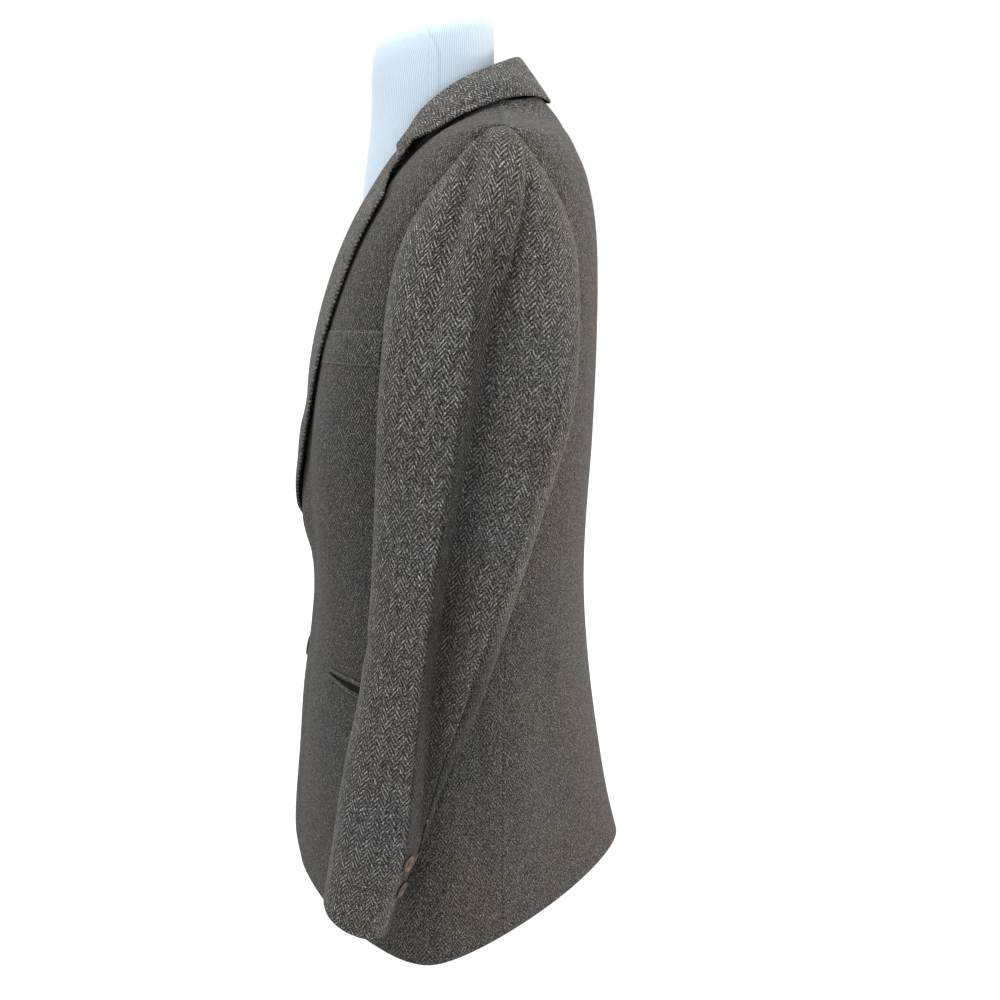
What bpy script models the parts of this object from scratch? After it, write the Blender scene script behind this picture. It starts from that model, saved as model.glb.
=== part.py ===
# Tweed jacket worn on a limbless dress form.
# Metres, +Z up. The wearer faces -Y and the wearer's left is +X.
# The origin is the centre of the form's flat base, which stands on the floor.
import math
from collections import namedtuple

import bmesh
import bpy
from mathutils import Matrix, Vector

for old_object in list(bpy.data.objects):
    bpy.data.objects.remove(old_object, do_unlink=True)

# ---- Cloth -------------------------------------------------------------
CLOTH = 0.0022            # tweed with its backing
DOUBLE_CLOTH = 0.0028     # collar and lapel, two layers pressed together
SEAM_GAP = 0.0003         # space between two pieces that meet at a seam

# ---- Body of the jacket ------------------------------------------------
HEM_HEIGHT = 0.012
SHOULDER_HEIGHT = 0.727   # top of the armhole
NECK_POINT_HEIGHT = 0.755  # where the shoulder seam meets the neckline
BACK_NECK_HEIGHT = 0.770

# A row for each level ring, from hem to neck. half_width lies across the body at the
# depth middle; front and back are the depths of the centre lines. A power of 2 gives
# an ellipse, less a diamond with round corners, more a squarer ring.
BodyRow = namedtuple("BodyRow", "height half_width middle front back front_power back_power")
BODY_ROWS = [
    BodyRow(0.012, 0.2380, -0.014, -0.1665, 0.1755, 1.50, 1.28),
    BodyRow(0.060, 0.2280, -0.012, -0.1630, 0.1640, 1.55, 1.38),
    BodyRow(0.120, 0.2150, -0.009, -0.1570, 0.1535, 1.65, 1.55),
    BodyRow(0.190, 0.2005, -0.005, -0.1502, 0.1435, 1.80, 1.75),
    BodyRow(0.260, 0.1880, 0.000, -0.1390, 0.1365, 1.95, 1.90),
    BodyRow(0.315, 0.1820, 0.004, -0.1330, 0.1340, 2.05, 2.00),
    BodyRow(0.375, 0.1820, 0.008, -0.1340, 0.1355, 2.10, 2.05),
    BodyRow(0.450, 0.1860, 0.012, -0.1320, 0.1400, 2.15, 2.10),
    BodyRow(0.530, 0.1900, 0.017, -0.1195, 0.1430, 2.20, 2.10),
    BodyRow(0.600, 0.1920, 0.022, -0.0990, 0.1428, 2.20, 2.10),
    BodyRow(0.650, 0.1940, 0.028, -0.0770, 0.1395, 2.15, 2.05),
    BodyRow(0.690, 0.1970, 0.034, -0.0510, 0.1310, 2.00, 2.00),
    BodyRow(0.715, 0.1990, 0.039, -0.0290, 0.1203, 1.75, 1.85),
    BodyRow(0.727, 0.1960, 0.042, -0.0170, 0.1143, 1.40, 1.60),
    BodyRow(0.7335, 0.1520, 0.043, -0.0110, 0.1100, 1.35, 1.50),
    BodyRow(0.740, 0.1060, 0.042, -0.0100, 0.1060, 1.40, 1.55),
    BodyRow(0.747, 0.0820, 0.040, -0.0130, 0.1010, 1.60, 1.75),
    BodyRow(0.755, 0.0715, 0.037, -0.0180, 0.0940, 1.90, 2.00),
    BodyRow(0.763, 0.0650, 0.033, -0.0220, 0.0865, 2.00, 2.00),
    BodyRow(0.771, 0.0600, 0.029, -0.0250, 0.0790, 2.00, 2.00),
]
CORNER_SOFTNESS = 0.008   # rounds the corners that a power under 2 gives

# The armhole is an ellipse on the side of the body, in degrees round the body from its
# side and in height.
ARMHOLE_ANGLE = 7.5
ARMHOLE_HALF_ANGLE = 33.5
ARMHOLE_HEIGHT = 0.621
ARMHOLE_HALF_HEIGHT = SHOULDER_HEIGHT - ARMHOLE_HEIGHT

FRONT_SEAM_ANGLE = -14.0       # seam between front and side panel
BACK_SEAM_WAIST_ANGLE = 23.5   # seam between back and side panel, up to the waist
BACK_SEAM_TOP_ANGLE = 31.0     # the same seam at the armhole
BACK_SEAM_BEND = (0.33, 0.55)  # heights between which it swings out

# Front edge: distance from the centre line of the edge, and above the roll's end of the
# line on which the lapel turns back.
OVERLAP = 0.017
CUTAWAY_TOP = 0.21             # below this the front edge curves away
CUTAWAY_WIDTH = 0.100
CUTAWAY_POWER = 2.4
EdgeRow = namedtuple("EdgeRow", "height across")
ROLL_ROWS = [
    EdgeRow(0.355, -OVERLAP),
    EdgeRow(0.690, 0.0595),
    EdgeRow(0.708, 0.0640),
    EdgeRow(0.722, 0.0660),
    EdgeRow(0.735, 0.0680),
    EdgeRow(0.747, 0.0708),
    EdgeRow(0.755, 0.0700),
]
FRONT_LIFT = CLOTH + 0.0008    # the left front lies this far over the right one
FRONT_LIFT_REACH = (0.024, 0.060)    # it comes down to its own ring between these
FRONT_LIFT_TOP = (0.452, 0.490)
# Where the lapel starts to turn, the left front bulges forward by this much.
BreakRow = namedtuple("BreakRow", "height rise")
BREAK_ROWS = [
    BreakRow(0.290, 0.0000),
    BreakRow(0.320, 0.0020),
    BreakRow(0.335, 0.0042),
    BreakRow(0.348, 0.0082),
    BreakRow(0.360, 0.0105),
    BreakRow(0.372, 0.0107),
    BreakRow(0.391, 0.0098),
    BreakRow(0.407, 0.0075),
    BreakRow(0.430, 0.0037),
    BreakRow(0.470, 0.0000),
]
BREAK_REACH = (0.002, 0.070)

VENT_TOP = 0.226
VENT_TAPER = 0.030             # height over which the underlap grows below the vent's top
VENT_UNDERLAP = 11.0           # degrees that the underlap runs past the centre
VENT_DROP = CLOTH + 0.0018

# Steps along the panels: shares of the way from the hem to the armhole.
LOWER_STEPS = (0.0, 0.02, 0.05, 0.10, 0.18, 0.28, 0.375, 0.43, 0.485, 0.57, 0.625, 0.675, 0.73, 0.79, 0.89, 1.0)
ARMHOLE_STEPS = 8
UNDERARM_STEPS = 6
SHOULDER_STEPS = 5
BACK_COLUMNS = 8
FRONT_COLUMNS = 10

# ---- Sleeve ------------------------------------------------------------
# A row for each section, from cuff to underarm: the height of its back edge and how much
# higher its front edge is, the depths of those edges and its reach across.
SleeveRow = namedtuple("SleeveRow", "height rise front back inner outer")
SLEEVE_ROWS = [
    SleeveRow(0.064, 0.026, -0.1005, -0.0440, 0.2080, 0.2900),
    SleeveRow(0.098, 0.019, -0.0955, -0.0340, 0.2075, 0.2905),
    SleeveRow(0.150, 0.010, -0.0880, -0.0100, 0.2070, 0.2910),
    SleeveRow(0.210, 0.004, -0.0790, 0.0125, 0.2065, 0.2900),
    SleeveRow(0.280, 0.000, -0.0650, 0.0400, 0.2010, 0.2870),
    SleeveRow(0.350, 0.000, -0.0565, 0.0625, 0.1965, 0.2840),
    SleeveRow(0.420, 0.000, -0.0520, 0.0840, 0.1955, 0.2810),
    SleeveRow(0.490, 0.000, -0.0485, 0.1045, 0.1960, 0.2790),
]
SLEEVE_POWER = 2.3
CAP_STEPS = 8
HEAD_GAP = 0.0008         # more room where the sleeve head bends over the shoulder's end
# The long fold down the sleeve: a ridge with a trough close behind it.
FoldRow = namedtuple("FoldRow", "height ridge depth")
FOLD_ROWS = [
    FoldRow(0.068, -0.046, 0.000),
    FoldRow(0.120, -0.0325, 0.009),
    FoldRow(0.190, -0.0235, 0.019),
    FoldRow(0.280, -0.0145, 0.020),
    FoldRow(0.340, -0.0065, 0.021),
    FoldRow(0.400, 0.002, 0.021),
    FoldRow(0.480, 0.016, 0.019),
    FoldRow(0.535, 0.026, 0.017),
    FoldRow(0.600, 0.034, 0.013),
    FoldRow(0.640, 0.037, 0.009),
    FoldRow(0.680, 0.050, 0.003),
    FoldRow(0.730, 0.055, 0.000),
]
FOLD_EDGE = 0.011         # from the ridge back to the bottom of the trough
FOLD_FADE = 0.034         # from there to where the sleeve is full again
SLEEVE_SEAM_GAP = 0.0008
HIND_SEAM_INSET = (0.004, 0.015)    # how far the rear seam lies in front of the rear edge
HIND_SEAM_SWING = (0.10, 0.30)      # between the first at this height and the second at this

# ---- Collar and lapels -------------------------------------------------
# A row for each station from the centre back to the collar's front corner, as points on
# the neckline seam, on top of the fold and on the free edge of the wearer's left half.
# The end that meets the lapel follows from the lapel's own top row.
CollarRow = namedtuple("CollarRow", "seam fold edge bulge")
COLLAR_ROWS = [
    CollarRow((0.000, 0.0775, 0.7725), (0.000, 0.0630, 0.7978), (0.000, 0.0964, 0.7578), 0.0045),
    CollarRow((0.036, 0.0690, 0.7690), (0.030, 0.0505, 0.7890), (0.0443, 0.0812, 0.7606), 0.0042),
    CollarRow((0.057, 0.0540, 0.7630), (0.052, 0.0310, 0.7790), (0.0693, 0.0580, 0.7572), 0.0034),
    CollarRow((0.0665, 0.0390, 0.7590), (0.063, 0.0130, 0.7695), (0.0850, 0.0370, 0.7497), 0.0022),
    CollarRow((0.0668, 0.0220, 0.7525), (0.068, -0.0035, 0.7580), (0.0950, 0.0190, 0.7420), 0.0025),
    CollarRow((0.0662, 0.0060, 0.7415), (0.070, -0.0185, 0.7450), (0.1010, 0.0050, 0.7346), 0.0030),
    CollarRow((0.0648, -0.0100, 0.7290), (0.070, -0.0300, 0.7295), (0.1040, -0.0092, 0.7265), 0.0030),
    CollarRow((0.0635, -0.0215, 0.7190), (0.068, -0.0395, 0.7185), (0.0970, -0.0242, 0.7208), 0.0020),
]
COLLAR_STEPS_EACH_SIDE = 14

# A row for each station up the lapel: the point on the roll line and the point on the
# outer edge (across, height), how far the roll stands off the chest and how far the
# outer edge does. Where flat is 1 the roll is hidden and the lapel lies pressed.
LapelRow = namedtuple("LapelRow", "roll_across roll_height edge_across edge_height rise hover flat")
UPPER_LAPEL_ROWS = [
    LapelRow(0.0160, 0.500, 0.0650, 0.492, 0.0092, 0.0058, 0.0),
    LapelRow(0.0297, 0.560, 0.0840, 0.548, 0.0092, 0.0050, 0.0),
    LapelRow(0.0434, 0.620, 0.1000, 0.602, 0.0084, 0.0040, 0.0),
    LapelRow(0.0549, 0.670, 0.1115, 0.645, 0.0080, 0.0040, 0.0),
    LapelRow(0.0638, 0.7065, 0.1175, 0.672, 0.0095, 0.0042, 0.0),
]
LEFT_LAPEL_ROWS = [
    LapelRow(-0.0160, 0.362, -0.0125, 0.361, 0.0028, 0.0028, 0.0),
    LapelRow(-0.0110, 0.382, 0.0115, 0.380, 0.0036, 0.0042, 0.0),
    LapelRow(-0.0040, 0.412, 0.0295, 0.409, 0.0048, 0.0064, 0.0),
    LapelRow(0.0055, 0.454, 0.0495, 0.449, 0.0060, 0.0070, 0.0),
] + UPPER_LAPEL_ROWS
# The right lapel's lower end comes out from under the left front.
RIGHT_LAPEL_ROWS = [
    LapelRow(0.0165, 0.3930, 0.0190, 0.3925, 0.0030, 0.0030, 1.0),
    LapelRow(0.0110, 0.415, 0.0300, 0.412, 0.0034, 0.0034, 1.0),
    LapelRow(0.0062, 0.440, 0.0420, 0.436, 0.0045, 0.0045, 1.0),
    LapelRow(0.0085, 0.470, 0.0545, 0.464, 0.0080, 0.0056, 0.0),
] + UPPER_LAPEL_ROWS
LAPEL_STEPS = 18
NOTCH_SHARE = 0.49        # the gorge seam runs this far along the lapel's top
GORGE_GAP = 0.0014
# The lapel's section: along, as a share of its width plus a distance, and height, as
# shares of the rise and the hover.
LapelSection = namedtuple("LapelSection", "share distance rise hover")
LAPEL_SECTION = [
    LapelSection(0.00, -0.0021, 0.00, 0.00),
    LapelSection(0.00, -0.0042, 0.30, 0.00),
    LapelSection(0.00, -0.0052, 0.65, 0.00),
    LapelSection(0.00, -0.0030, 0.93, 0.00),
    LapelSection(0.00, 0.0015, 1.00, 0.00),
    LapelSection(0.20, 0.0000, 0.62, 0.40),
    LapelSection(0.45, 0.0000, 0.15, 0.95),
    LapelSection(0.72, 0.0000, 0.00, 1.05),
    LapelSection(1.00, 0.0000, 0.00, 1.00),
]

# ---- Pockets and buttons -----------------------------------------------
BREAST_POCKET = {"across": (0.076, 0.170), "bottom": 0.5258, "height": 0.0295, "slant": 0.095, "columns": 8}
HIP_POCKET_FRONT = (0.120, 0.242)    # across, height
HIP_POCKET_DROP = 0.05               # fall of the slanted pocket for each metre round the body
HIP_POCKET_LENGTH = 0.145
HIP_POCKET_COLUMNS = 10
JET_HEIGHT = 0.007
MOUTH_HEIGHT = 0.006
APPLIED_WALL = 0.0018
APPLIED_GAP = 0.0005

FRONT_BUTTON = {"radius": 0.010, "thickness": 0.0026}
CUFF_BUTTON = {"radius": 0.0075, "thickness": 0.0028}
BUTTON_SHANK = 0.0005                # thread between the front and a button
FRONT_BUTTON_HEIGHTS = (0.322, 0.222)
# height, degrees round from the outer side, thread between the cloth and the button
CUFF_BUTTON_PLACES = ((0.108, 58.0, 0.0005), (0.135, 44.0, -0.0004))

# ---- Dress form --------------------------------------------------------
FormRow = namedtuple("FormRow", "height half_width middle front back power")
FORM_ROWS = [
    FormRow(0.000, 0.172, -0.008, -0.126, 0.134, 2.0),
    FormRow(0.060, 0.180, -0.008, -0.132, 0.134, 2.0),
    FormRow(0.150, 0.180, -0.006, -0.134, 0.128, 2.0),
    FormRow(0.230, 0.174, -0.003, -0.128, 0.122, 2.0),
    FormRow(0.315, 0.168, 0.002, -0.122, 0.1215, 2.0),
    FormRow(0.400, 0.170, 0.007, -0.121, 0.1245, 2.05),
    FormRow(0.480, 0.175, 0.013, -0.115, 0.1290, 2.1),
    FormRow(0.560, 0.178, 0.018, -0.101, 0.1310, 2.1),
    FormRow(0.620, 0.179, 0.024, -0.082, 0.1290, 2.1),
    FormRow(0.665, 0.181, 0.030, -0.058, 0.1220, 2.05),
    FormRow(0.695, 0.180, 0.036, -0.036, 0.1130, 1.9),
    FormRow(0.7120, 0.170, 0.040, -0.018, 0.1040, 1.7),
    FormRow(0.7284, 0.145, 0.042, -0.006, 0.0970, 1.5),
    FormRow(0.7393, 0.098, 0.042, -0.002, 0.0900, 1.6),
    FormRow(0.7460, 0.052, 0.036, 0.004, 0.0700, 1.8),
]
FORM_SIDES = 36
NeckRow = namedtuple("NeckRow", "height middle radius")
NECK_ROWS = [
    NeckRow(0.560, -0.034, 0.0520),
    NeckRow(0.620, -0.029, 0.0565),
    NeckRow(0.680, -0.021, 0.0570),
    NeckRow(0.740, -0.0130, 0.0567),
    NeckRow(0.780, -0.0118, 0.0562),
    NeckRow(0.803, -0.0108, 0.0552),
    NeckRow(0.8165, -0.0088, 0.0520),
    NeckRow(0.8250, -0.0035, 0.0430),
    NeckRow(0.8285, 0.0010, 0.0300),
]
NECK_TOP_SLOPE = 0.16     # the top of the neck falls towards the front
NECK_SLOPE_FROM = 0.77
NECK_SIDES = 28

jacket = bpy.data.collections.new("tweed_jacket_on_form")
bpy.context.scene.collection.children.link(jacket)


# ---- Small tools -------------------------------------------------------
def finish(name, color, roughness):
    """A plain Principled material."""
    material = bpy.data.materials.new(name)
    material.use_nodes = True
    shader = material.node_tree.nodes["Principled BSDF"]
    shader.inputs["Base Color"].default_value = (*color, 1.0)
    shader.inputs["Roughness"].default_value = roughness
    shader.inputs["Metallic"].default_value = 0.0
    return material


TWEED = finish("tweed", (0.105, 0.090, 0.078), 0.95)
UNDERCOLLAR = finish("pocketing", (0.020, 0.020, 0.017), 0.90)
HORN = finish("horn", (0.45, 0.38, 0.30), 0.40)
JERSEY = finish("form_cover", (0.80, 0.81, 0.84), 0.85)


def add_object(name, mesh, material):
    shape = bpy.data.objects.new(name, mesh)
    shape.data.materials.append(material)
    jacket.objects.link(shape)
    return shape


def mix(low, high, share):
    return low + (high - low) * share


def smooth_step(value, low, high):
    share = min(1.0, max(0.0, (value - low) / (high - low)))
    return share * share * (3.0 - 2.0 * share)


def curve_through(rows, place):
    """The row at a fractional place in a table, on a smooth curve through its rows."""
    place = min(len(rows) - 1.0, max(0.0, place))
    index = min(len(rows) - 2, int(place))
    share = place - index
    before, low, high, after = (rows[min(len(rows) - 1, max(0, index + step))] for step in (-1, 0, 1, 2))

    def column(a, b, c, d):
        leave, arrive = (c - a) / 2.0, (d - b) / 2.0
        if index == 0:
            leave = c - b
        if index == len(rows) - 2:
            arrive = c - b
        cubic = 2.0 * b - 2.0 * c + leave + arrive
        square = -3.0 * b + 3.0 * c - 2.0 * leave - arrive
        return ((cubic * share + square) * share + leave) * share + b

    return type(low)(*(column(*values) for values in zip(before, low, high, after)))


def solve(function, low, high, target):
    """Where a rising function reaches target."""
    for _ in range(40):
        middle = (low + high) / 2.0
        if function(middle) < target:
            low = middle
        else:
            high = middle
    return (low + high) / 2.0


def place_at(rows, height):
    return solve(lambda place: curve_through(rows, place).height, 0.0, len(rows) - 1.0, height)


def straight_between(rows, height, column):
    """A value read from straight lines between the rows of a table."""
    for low, high in zip(rows, rows[1:]):
        if height <= high.height:
            share = max(0.0, (height - low.height) / (high.height - low.height))
            return mix(getattr(low, column), getattr(high, column), share)
    return getattr(rows[-1], column)


def ring_factor(cosine, sine, power):
    """How far from its centre a ring of this power lies, where an ellipse has 1."""
    def norm(one, other):
        return (one ** 2 + CORNER_SOFTNESS) ** (power / 2) + (other ** 2 + CORNER_SOFTNESS) ** (power / 2)
    return (norm(1.0, 0.0) / norm(cosine, sine)) ** (1.0 / power)


# ---- The body's surface ------------------------------------------------
def body_surface(angle, place):
    """A point of the outer cloth: angle in degrees round the body from its left side,
    90 at the centre back, and place between the rows of BODY_ROWS."""
    row = curve_through(BODY_ROWS, place)
    cosine, sine = math.cos(math.radians(angle)), math.sin(math.radians(angle))
    depth, power = (row.back - row.middle, row.back_power)
    if sine < 0.0:
        depth, power = (row.middle - row.front, row.front_power)
    factor = ring_factor(cosine, sine, power)
    return Vector((row.half_width * cosine * factor, row.middle + depth * sine * factor, row.height))


def body_normal(angle, place):
    step = 0.25
    across = body_surface(angle + step, place) - body_surface(angle - step, place)
    low, high = max(0.0, place - 0.01), min(len(BODY_ROWS) - 1.0, place + 0.01)
    up = body_surface(angle, high) - body_surface(angle, low)
    return across.cross(up).normalized()


def body_point(angle, place, out=0.0):
    return body_surface(angle, place) + body_normal(angle, place) * out


def front_angle(across, place):
    """The angle at which the front of a ring is this far from the centre line."""
    return solve(lambda angle: body_surface(angle, place).x, -150.0, -0.001, across)


def front_point(across, height, out=0.0):
    place = place_at(BODY_ROWS, height)
    return body_point(front_angle(across, place), place, out)


def armhole_angle(turn):
    return ARMHOLE_ANGLE + ARMHOLE_HALF_ANGLE * math.sin(math.radians(turn))


def armhole_place(turn):
    """Place of an armhole point, turn degrees from its top and rising towards the back."""
    return place_at(BODY_ROWS, ARMHOLE_HEIGHT + ARMHOLE_HALF_HEIGHT * math.cos(math.radians(turn)))


def armhole_turn(angle):
    """The turn below the armhole's middle at which a seam meets it."""
    return 180.0 - math.degrees(math.asin((angle - ARMHOLE_ANGLE) / ARMHOLE_HALF_ANGLE))


def back_seam_angle(height):
    return mix(BACK_SEAM_WAIST_ANGLE, BACK_SEAM_TOP_ANGLE, smooth_step(height, *BACK_SEAM_BEND))


BACK_SEAM_TURN = armhole_turn(BACK_SEAM_TOP_ANGLE)
FRONT_SEAM_TURN = armhole_turn(FRONT_SEAM_ANGLE)
HEM_PLACE = 0.0
SHOULDER_PLACE = place_at(BODY_ROWS, SHOULDER_HEIGHT)
NECK_POINT_PLACE = place_at(BODY_ROWS, NECK_POINT_HEIGHT)
BACK_NECK_PLACE = place_at(BODY_ROWS, BACK_NECK_HEIGHT)


def front_edge_across(height):
    """Distance from the centre line of the front edge, or of the roll line above it."""
    if height >= CUTAWAY_TOP:
        return straight_between(ROLL_ROWS, height, "across")
    share = (CUTAWAY_TOP - height) / (CUTAWAY_TOP - HEM_HEIGHT)
    return -OVERLAP + CUTAWAY_WIDTH * (1.0 - (1.0 - share ** CUTAWAY_POWER) ** (1.0 / CUTAWAY_POWER))


# ---- Cloth walls -------------------------------------------------------
def cloth_wall(name, grid, material, wall=CLOTH):
    """A closed wall from a grid of (outer point, outward normal), row by row."""
    rows, columns = len(grid), len(grid[0])
    shell = bmesh.new()
    bmesh.ops.create_grid(shell, x_segments=columns - 1, y_segments=rows - 1, size=1.0)
    inward = shell.verts.layers.float_vector.new("inward")
    shell.verts.ensure_lookup_table()
    for index, vertex in enumerate(shell.verts):
        point, normal = grid[index // columns][index % columns]
        vertex.co = point
        vertex[inward] = -wall * normal
    first = shell.faces[:][0]
    first.normal_update()
    if first.normal.dot(first.verts[0][inward]) > 0.0:
        bmesh.ops.reverse_faces(shell, faces=shell.faces[:])
    outer = shell.faces[:]
    lining = bmesh.ops.extrude_face_region(shell, geom=outer, use_keep_orig=True)
    for part in lining["geom"]:
        if isinstance(part, bmesh.types.BMVert):
            part.co += part[inward]
    new_faces = [part for part in lining["geom"] if isinstance(part, bmesh.types.BMFace)]
    bmesh.ops.reverse_faces(shell, faces=new_faces)
    bmesh.ops.recalc_face_normals(shell, faces=shell.faces[:])
    mesh = bpy.data.meshes.new(name)
    shell.to_mesh(mesh)
    shell.free()
    mesh.shade_smooth()
    mesh.set_sharp_from_angle(angle=math.radians(40.0))
    return add_object(name, mesh, material)


def seam_inset(grid, first=True, last=True, gap=SEAM_GAP):
    """Moves the end columns of a grid half a seam's gap towards their neighbours."""
    for row in grid:
        for here, there, wanted in ((0, 1, first), (-1, -2, last)):
            if wanted:
                point, normal = row[here]
                toward = row[there][0] - point
                toward = (toward - normal * toward.dot(normal)).normalized()
                row[here] = (point + toward * (gap / 2.0), normal)
    return grid


def mirrored(grid):
    """The same piece on the other side of the body."""
    flip = Vector((-1.0, 1.0, 1.0))
    return [[(point * flip, normal * flip) for point, normal in row] for row in grid]


def panel_grid(places, columns, angle_at, place_at_column, out_at):
    """A panel of the body: each row runs from angle_at(step, 0) to angle_at(step, 1)."""
    grid = []
    for step in range(len(places)):
        row = []
        for column in range(columns + 1):
            share = column / columns
            angle = angle_at(step, share)
            place = place_at_column(step, share)
            row.append((body_point(angle, place, out_at(angle, place)), body_normal(angle, place)))
        grid.append(row)
    return grid


def lower_places(top_place):
    return [mix(HEM_PLACE, top_place, share) for share in LOWER_STEPS]


def armhole_turns(seam_turn):
    """Turns from a seam up to the armhole's top, on that seam's side."""
    top_turn = 0.0 if seam_turn < 180.0 else 360.0
    return [mix(seam_turn, top_turn, step / ARMHOLE_STEPS) for step in range(1, ARMHOLE_STEPS + 1)]


def shoulder_places():
    return [mix(SHOULDER_PLACE, NECK_POINT_PLACE, step / SHOULDER_STEPS) for step in range(1, SHOULDER_STEPS + 1)]


def panel_edge(seam_turn, seam_angle):
    """Places and angles up the seam, the armhole and the shoulder of a front or back."""
    lower = lower_places(armhole_place(seam_turn))
    heights = [curve_through(BODY_ROWS, place).height for place in lower]
    edge = [(place, seam_angle(height)) for place, height in zip(lower, heights)]
    edge[-1] = (lower[-1], armhole_angle(seam_turn))
    for turn in armhole_turns(seam_turn):
        edge.append((armhole_place(turn), armhole_angle(turn)))
    edge.extend((place, ARMHOLE_ANGLE) for place in shoulder_places())
    return edge


# ---- Backs -------------------------------------------------------------
def back_grid(with_vent):
    edge = panel_edge(BACK_SEAM_TURN, back_seam_angle)
    last = len(edge) - 1

    def height_of(step):
        return curve_through(BODY_ROWS, edge[step][0]).height

    def centre_angle(step):
        """The centre seam, or the underlap's edge beyond it inside the vent."""
        if not with_vent:
            return 90.0
        return 90.0 + VENT_UNDERLAP * smooth_step(VENT_TOP - height_of(step), 0.0, VENT_TAPER)

    def place_of(step, share):
        neck_rise = (BACK_NECK_PLACE - NECK_POINT_PLACE) * (1.0 - share) ** 2
        return edge[step][0] + neck_rise * smooth_step(step, last - SHOULDER_STEPS, last)

    def out_of(angle, place):
        if not with_vent:
            return 0.0
        above_vent = curve_through(BODY_ROWS, place).height - VENT_TOP
        inside_vent = 1.0 - smooth_step(above_vent, VENT_TAPER * 0.1, VENT_TAPER)
        return -VENT_DROP * inside_vent * smooth_step(angle, 78.0, 86.5)

    def angle_of(step, share):
        return mix(centre_angle(step), edge[step][1], share)

    grid = panel_grid(edge, BACK_COLUMNS + (4 if with_vent else 0), angle_of, place_of, out_of)
    for step, row in enumerate(grid):
        row_above_vent = not with_vent or centre_angle(step) == 90.0
        joined_side = step < len(LOWER_STEPS)
        joined_shoulder = step >= last - SHOULDER_STEPS
        seam_inset([row], first=row_above_vent, last=joined_side or joined_shoulder)
    return grid


# ---- Fronts ------------------------------------------------------------
def front_lift(across, height):
    """How far the left front lies above the body's ring, to pass over the right one."""
    near_centre = 1.0 - smooth_step(across, *FRONT_LIFT_REACH)
    lift = FRONT_LIFT * near_centre * (1.0 - smooth_step(height, *FRONT_LIFT_TOP))
    return lift + straight_between(BREAK_ROWS, height, "rise") * (1.0 - smooth_step(across, *BREAK_REACH))


def front_grid(lifted):
    edge = panel_edge(FRONT_SEAM_TURN, lambda height: FRONT_SEAM_ANGLE)
    last = len(edge) - 1

    def angle_of(step, share):
        place, side_angle = edge[step]
        height = curve_through(BODY_ROWS, place).height
        return mix(front_angle(front_edge_across(height), place), side_angle, share)

    def out_of(angle, place):
        if not lifted:
            return 0.0
        return front_lift(body_surface(angle, place).x, curve_through(BODY_ROWS, place).height)

    grid = panel_grid(edge, FRONT_COLUMNS, angle_of, lambda step, share: edge[step][0], out_of)
    for step, row in enumerate(grid):
        joined_side = step < len(LOWER_STEPS)
        joined_shoulder = step >= last - SHOULDER_STEPS
        seam_inset([row], first=False, last=joined_side or joined_shoulder)
    return grid


# ---- Side panels -------------------------------------------------------
def side_grid():
    """Between the back seam and the front seam, up to the underarm."""
    turns = [mix(BACK_SEAM_TURN, FRONT_SEAM_TURN, step / UNDERARM_STEPS) for step in range(UNDERARM_STEPS + 1)]
    grid = []
    for share in LOWER_STEPS:
        row = []
        for turn in turns:
            place = mix(HEM_PLACE, armhole_place(turn), share)
            back_place = mix(HEM_PLACE, armhole_place(BACK_SEAM_TURN), share)
            back_angle = back_seam_angle(curve_through(BODY_ROWS, back_place).height)
            if share == 1.0:
                back_angle = armhole_angle(BACK_SEAM_TURN)
            top = (armhole_angle(turn) - FRONT_SEAM_ANGLE) / (armhole_angle(BACK_SEAM_TURN) - FRONT_SEAM_ANGLE)
            angle = mix(FRONT_SEAM_ANGLE, back_angle, top)
            row.append((body_point(angle, place), body_normal(angle, place)))
        grid.append(row)
    return seam_inset(grid)


# ---- Sleeves -----------------------------------------------------------
def armhole_ring():
    """The armhole's corner points in order: top, back, underarm, front and up again."""
    turns = [mix(0.0, BACK_SEAM_TURN, step / ARMHOLE_STEPS) for step in range(ARMHOLE_STEPS)]
    turns += [mix(BACK_SEAM_TURN, FRONT_SEAM_TURN, step / UNDERARM_STEPS) for step in range(UNDERARM_STEPS)]
    turns += [mix(FRONT_SEAM_TURN, 360.0, step / ARMHOLE_STEPS) for step in range(ARMHOLE_STEPS)]
    return [body_ring_point(turn) for turn in turns]


def body_ring_point(turn):
    angle, place = armhole_angle(turn), armhole_place(turn)
    return turn, body_point(angle, place), body_normal(angle, place)


ARMHOLE_RING = armhole_ring()
ARMHOLE_CENTRE = sum((point for _, point, _ in ARMHOLE_RING), Vector()) / len(ARMHOLE_RING)


def sleeve_section(turn, place):
    """A point of a level section, turn degrees from its outer side towards the back."""
    row = curve_through(SLEEVE_ROWS, place)
    cosine, sine = math.cos(math.radians(turn)), math.sin(math.radians(turn))
    factor = ring_factor(cosine, sine, SLEEVE_POWER)
    across = (row.inner + row.outer + (row.outer - row.inner) * cosine * factor) / 2.0
    depth = (row.front + row.back + (row.back - row.front) * sine * factor) / 2.0
    rise = row.rise * (row.back - depth) / (row.back - row.front)
    return Vector((across, depth, row.height + rise))


def fold_at(height):
    return curve_through(FOLD_ROWS, place_at(FOLD_ROWS, max(FOLD_ROWS[0].height, height)))


def section_turn(place, depth):
    """Turn of the point on a section's outer side that lies at a depth."""
    return solve(lambda turn: sleeve_section(turn, place).y, -89.0, 89.0, depth)


def pressed_in(point, outwards):
    """Presses the long fold's trough into a point of the sleeve's outer side."""
    fold = fold_at(point.z)
    behind = point.y - fold.ridge
    shape = smooth_step(behind, 0.0, FOLD_EDGE)
    if behind > FOLD_EDGE:
        shape = math.exp(-(((behind - FOLD_EDGE) / FOLD_FADE) ** 2))
    facing = smooth_step(outwards, 0.0, 0.5)
    return point - Vector((fold.depth * shape * facing, 0.0, 0.0))


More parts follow.
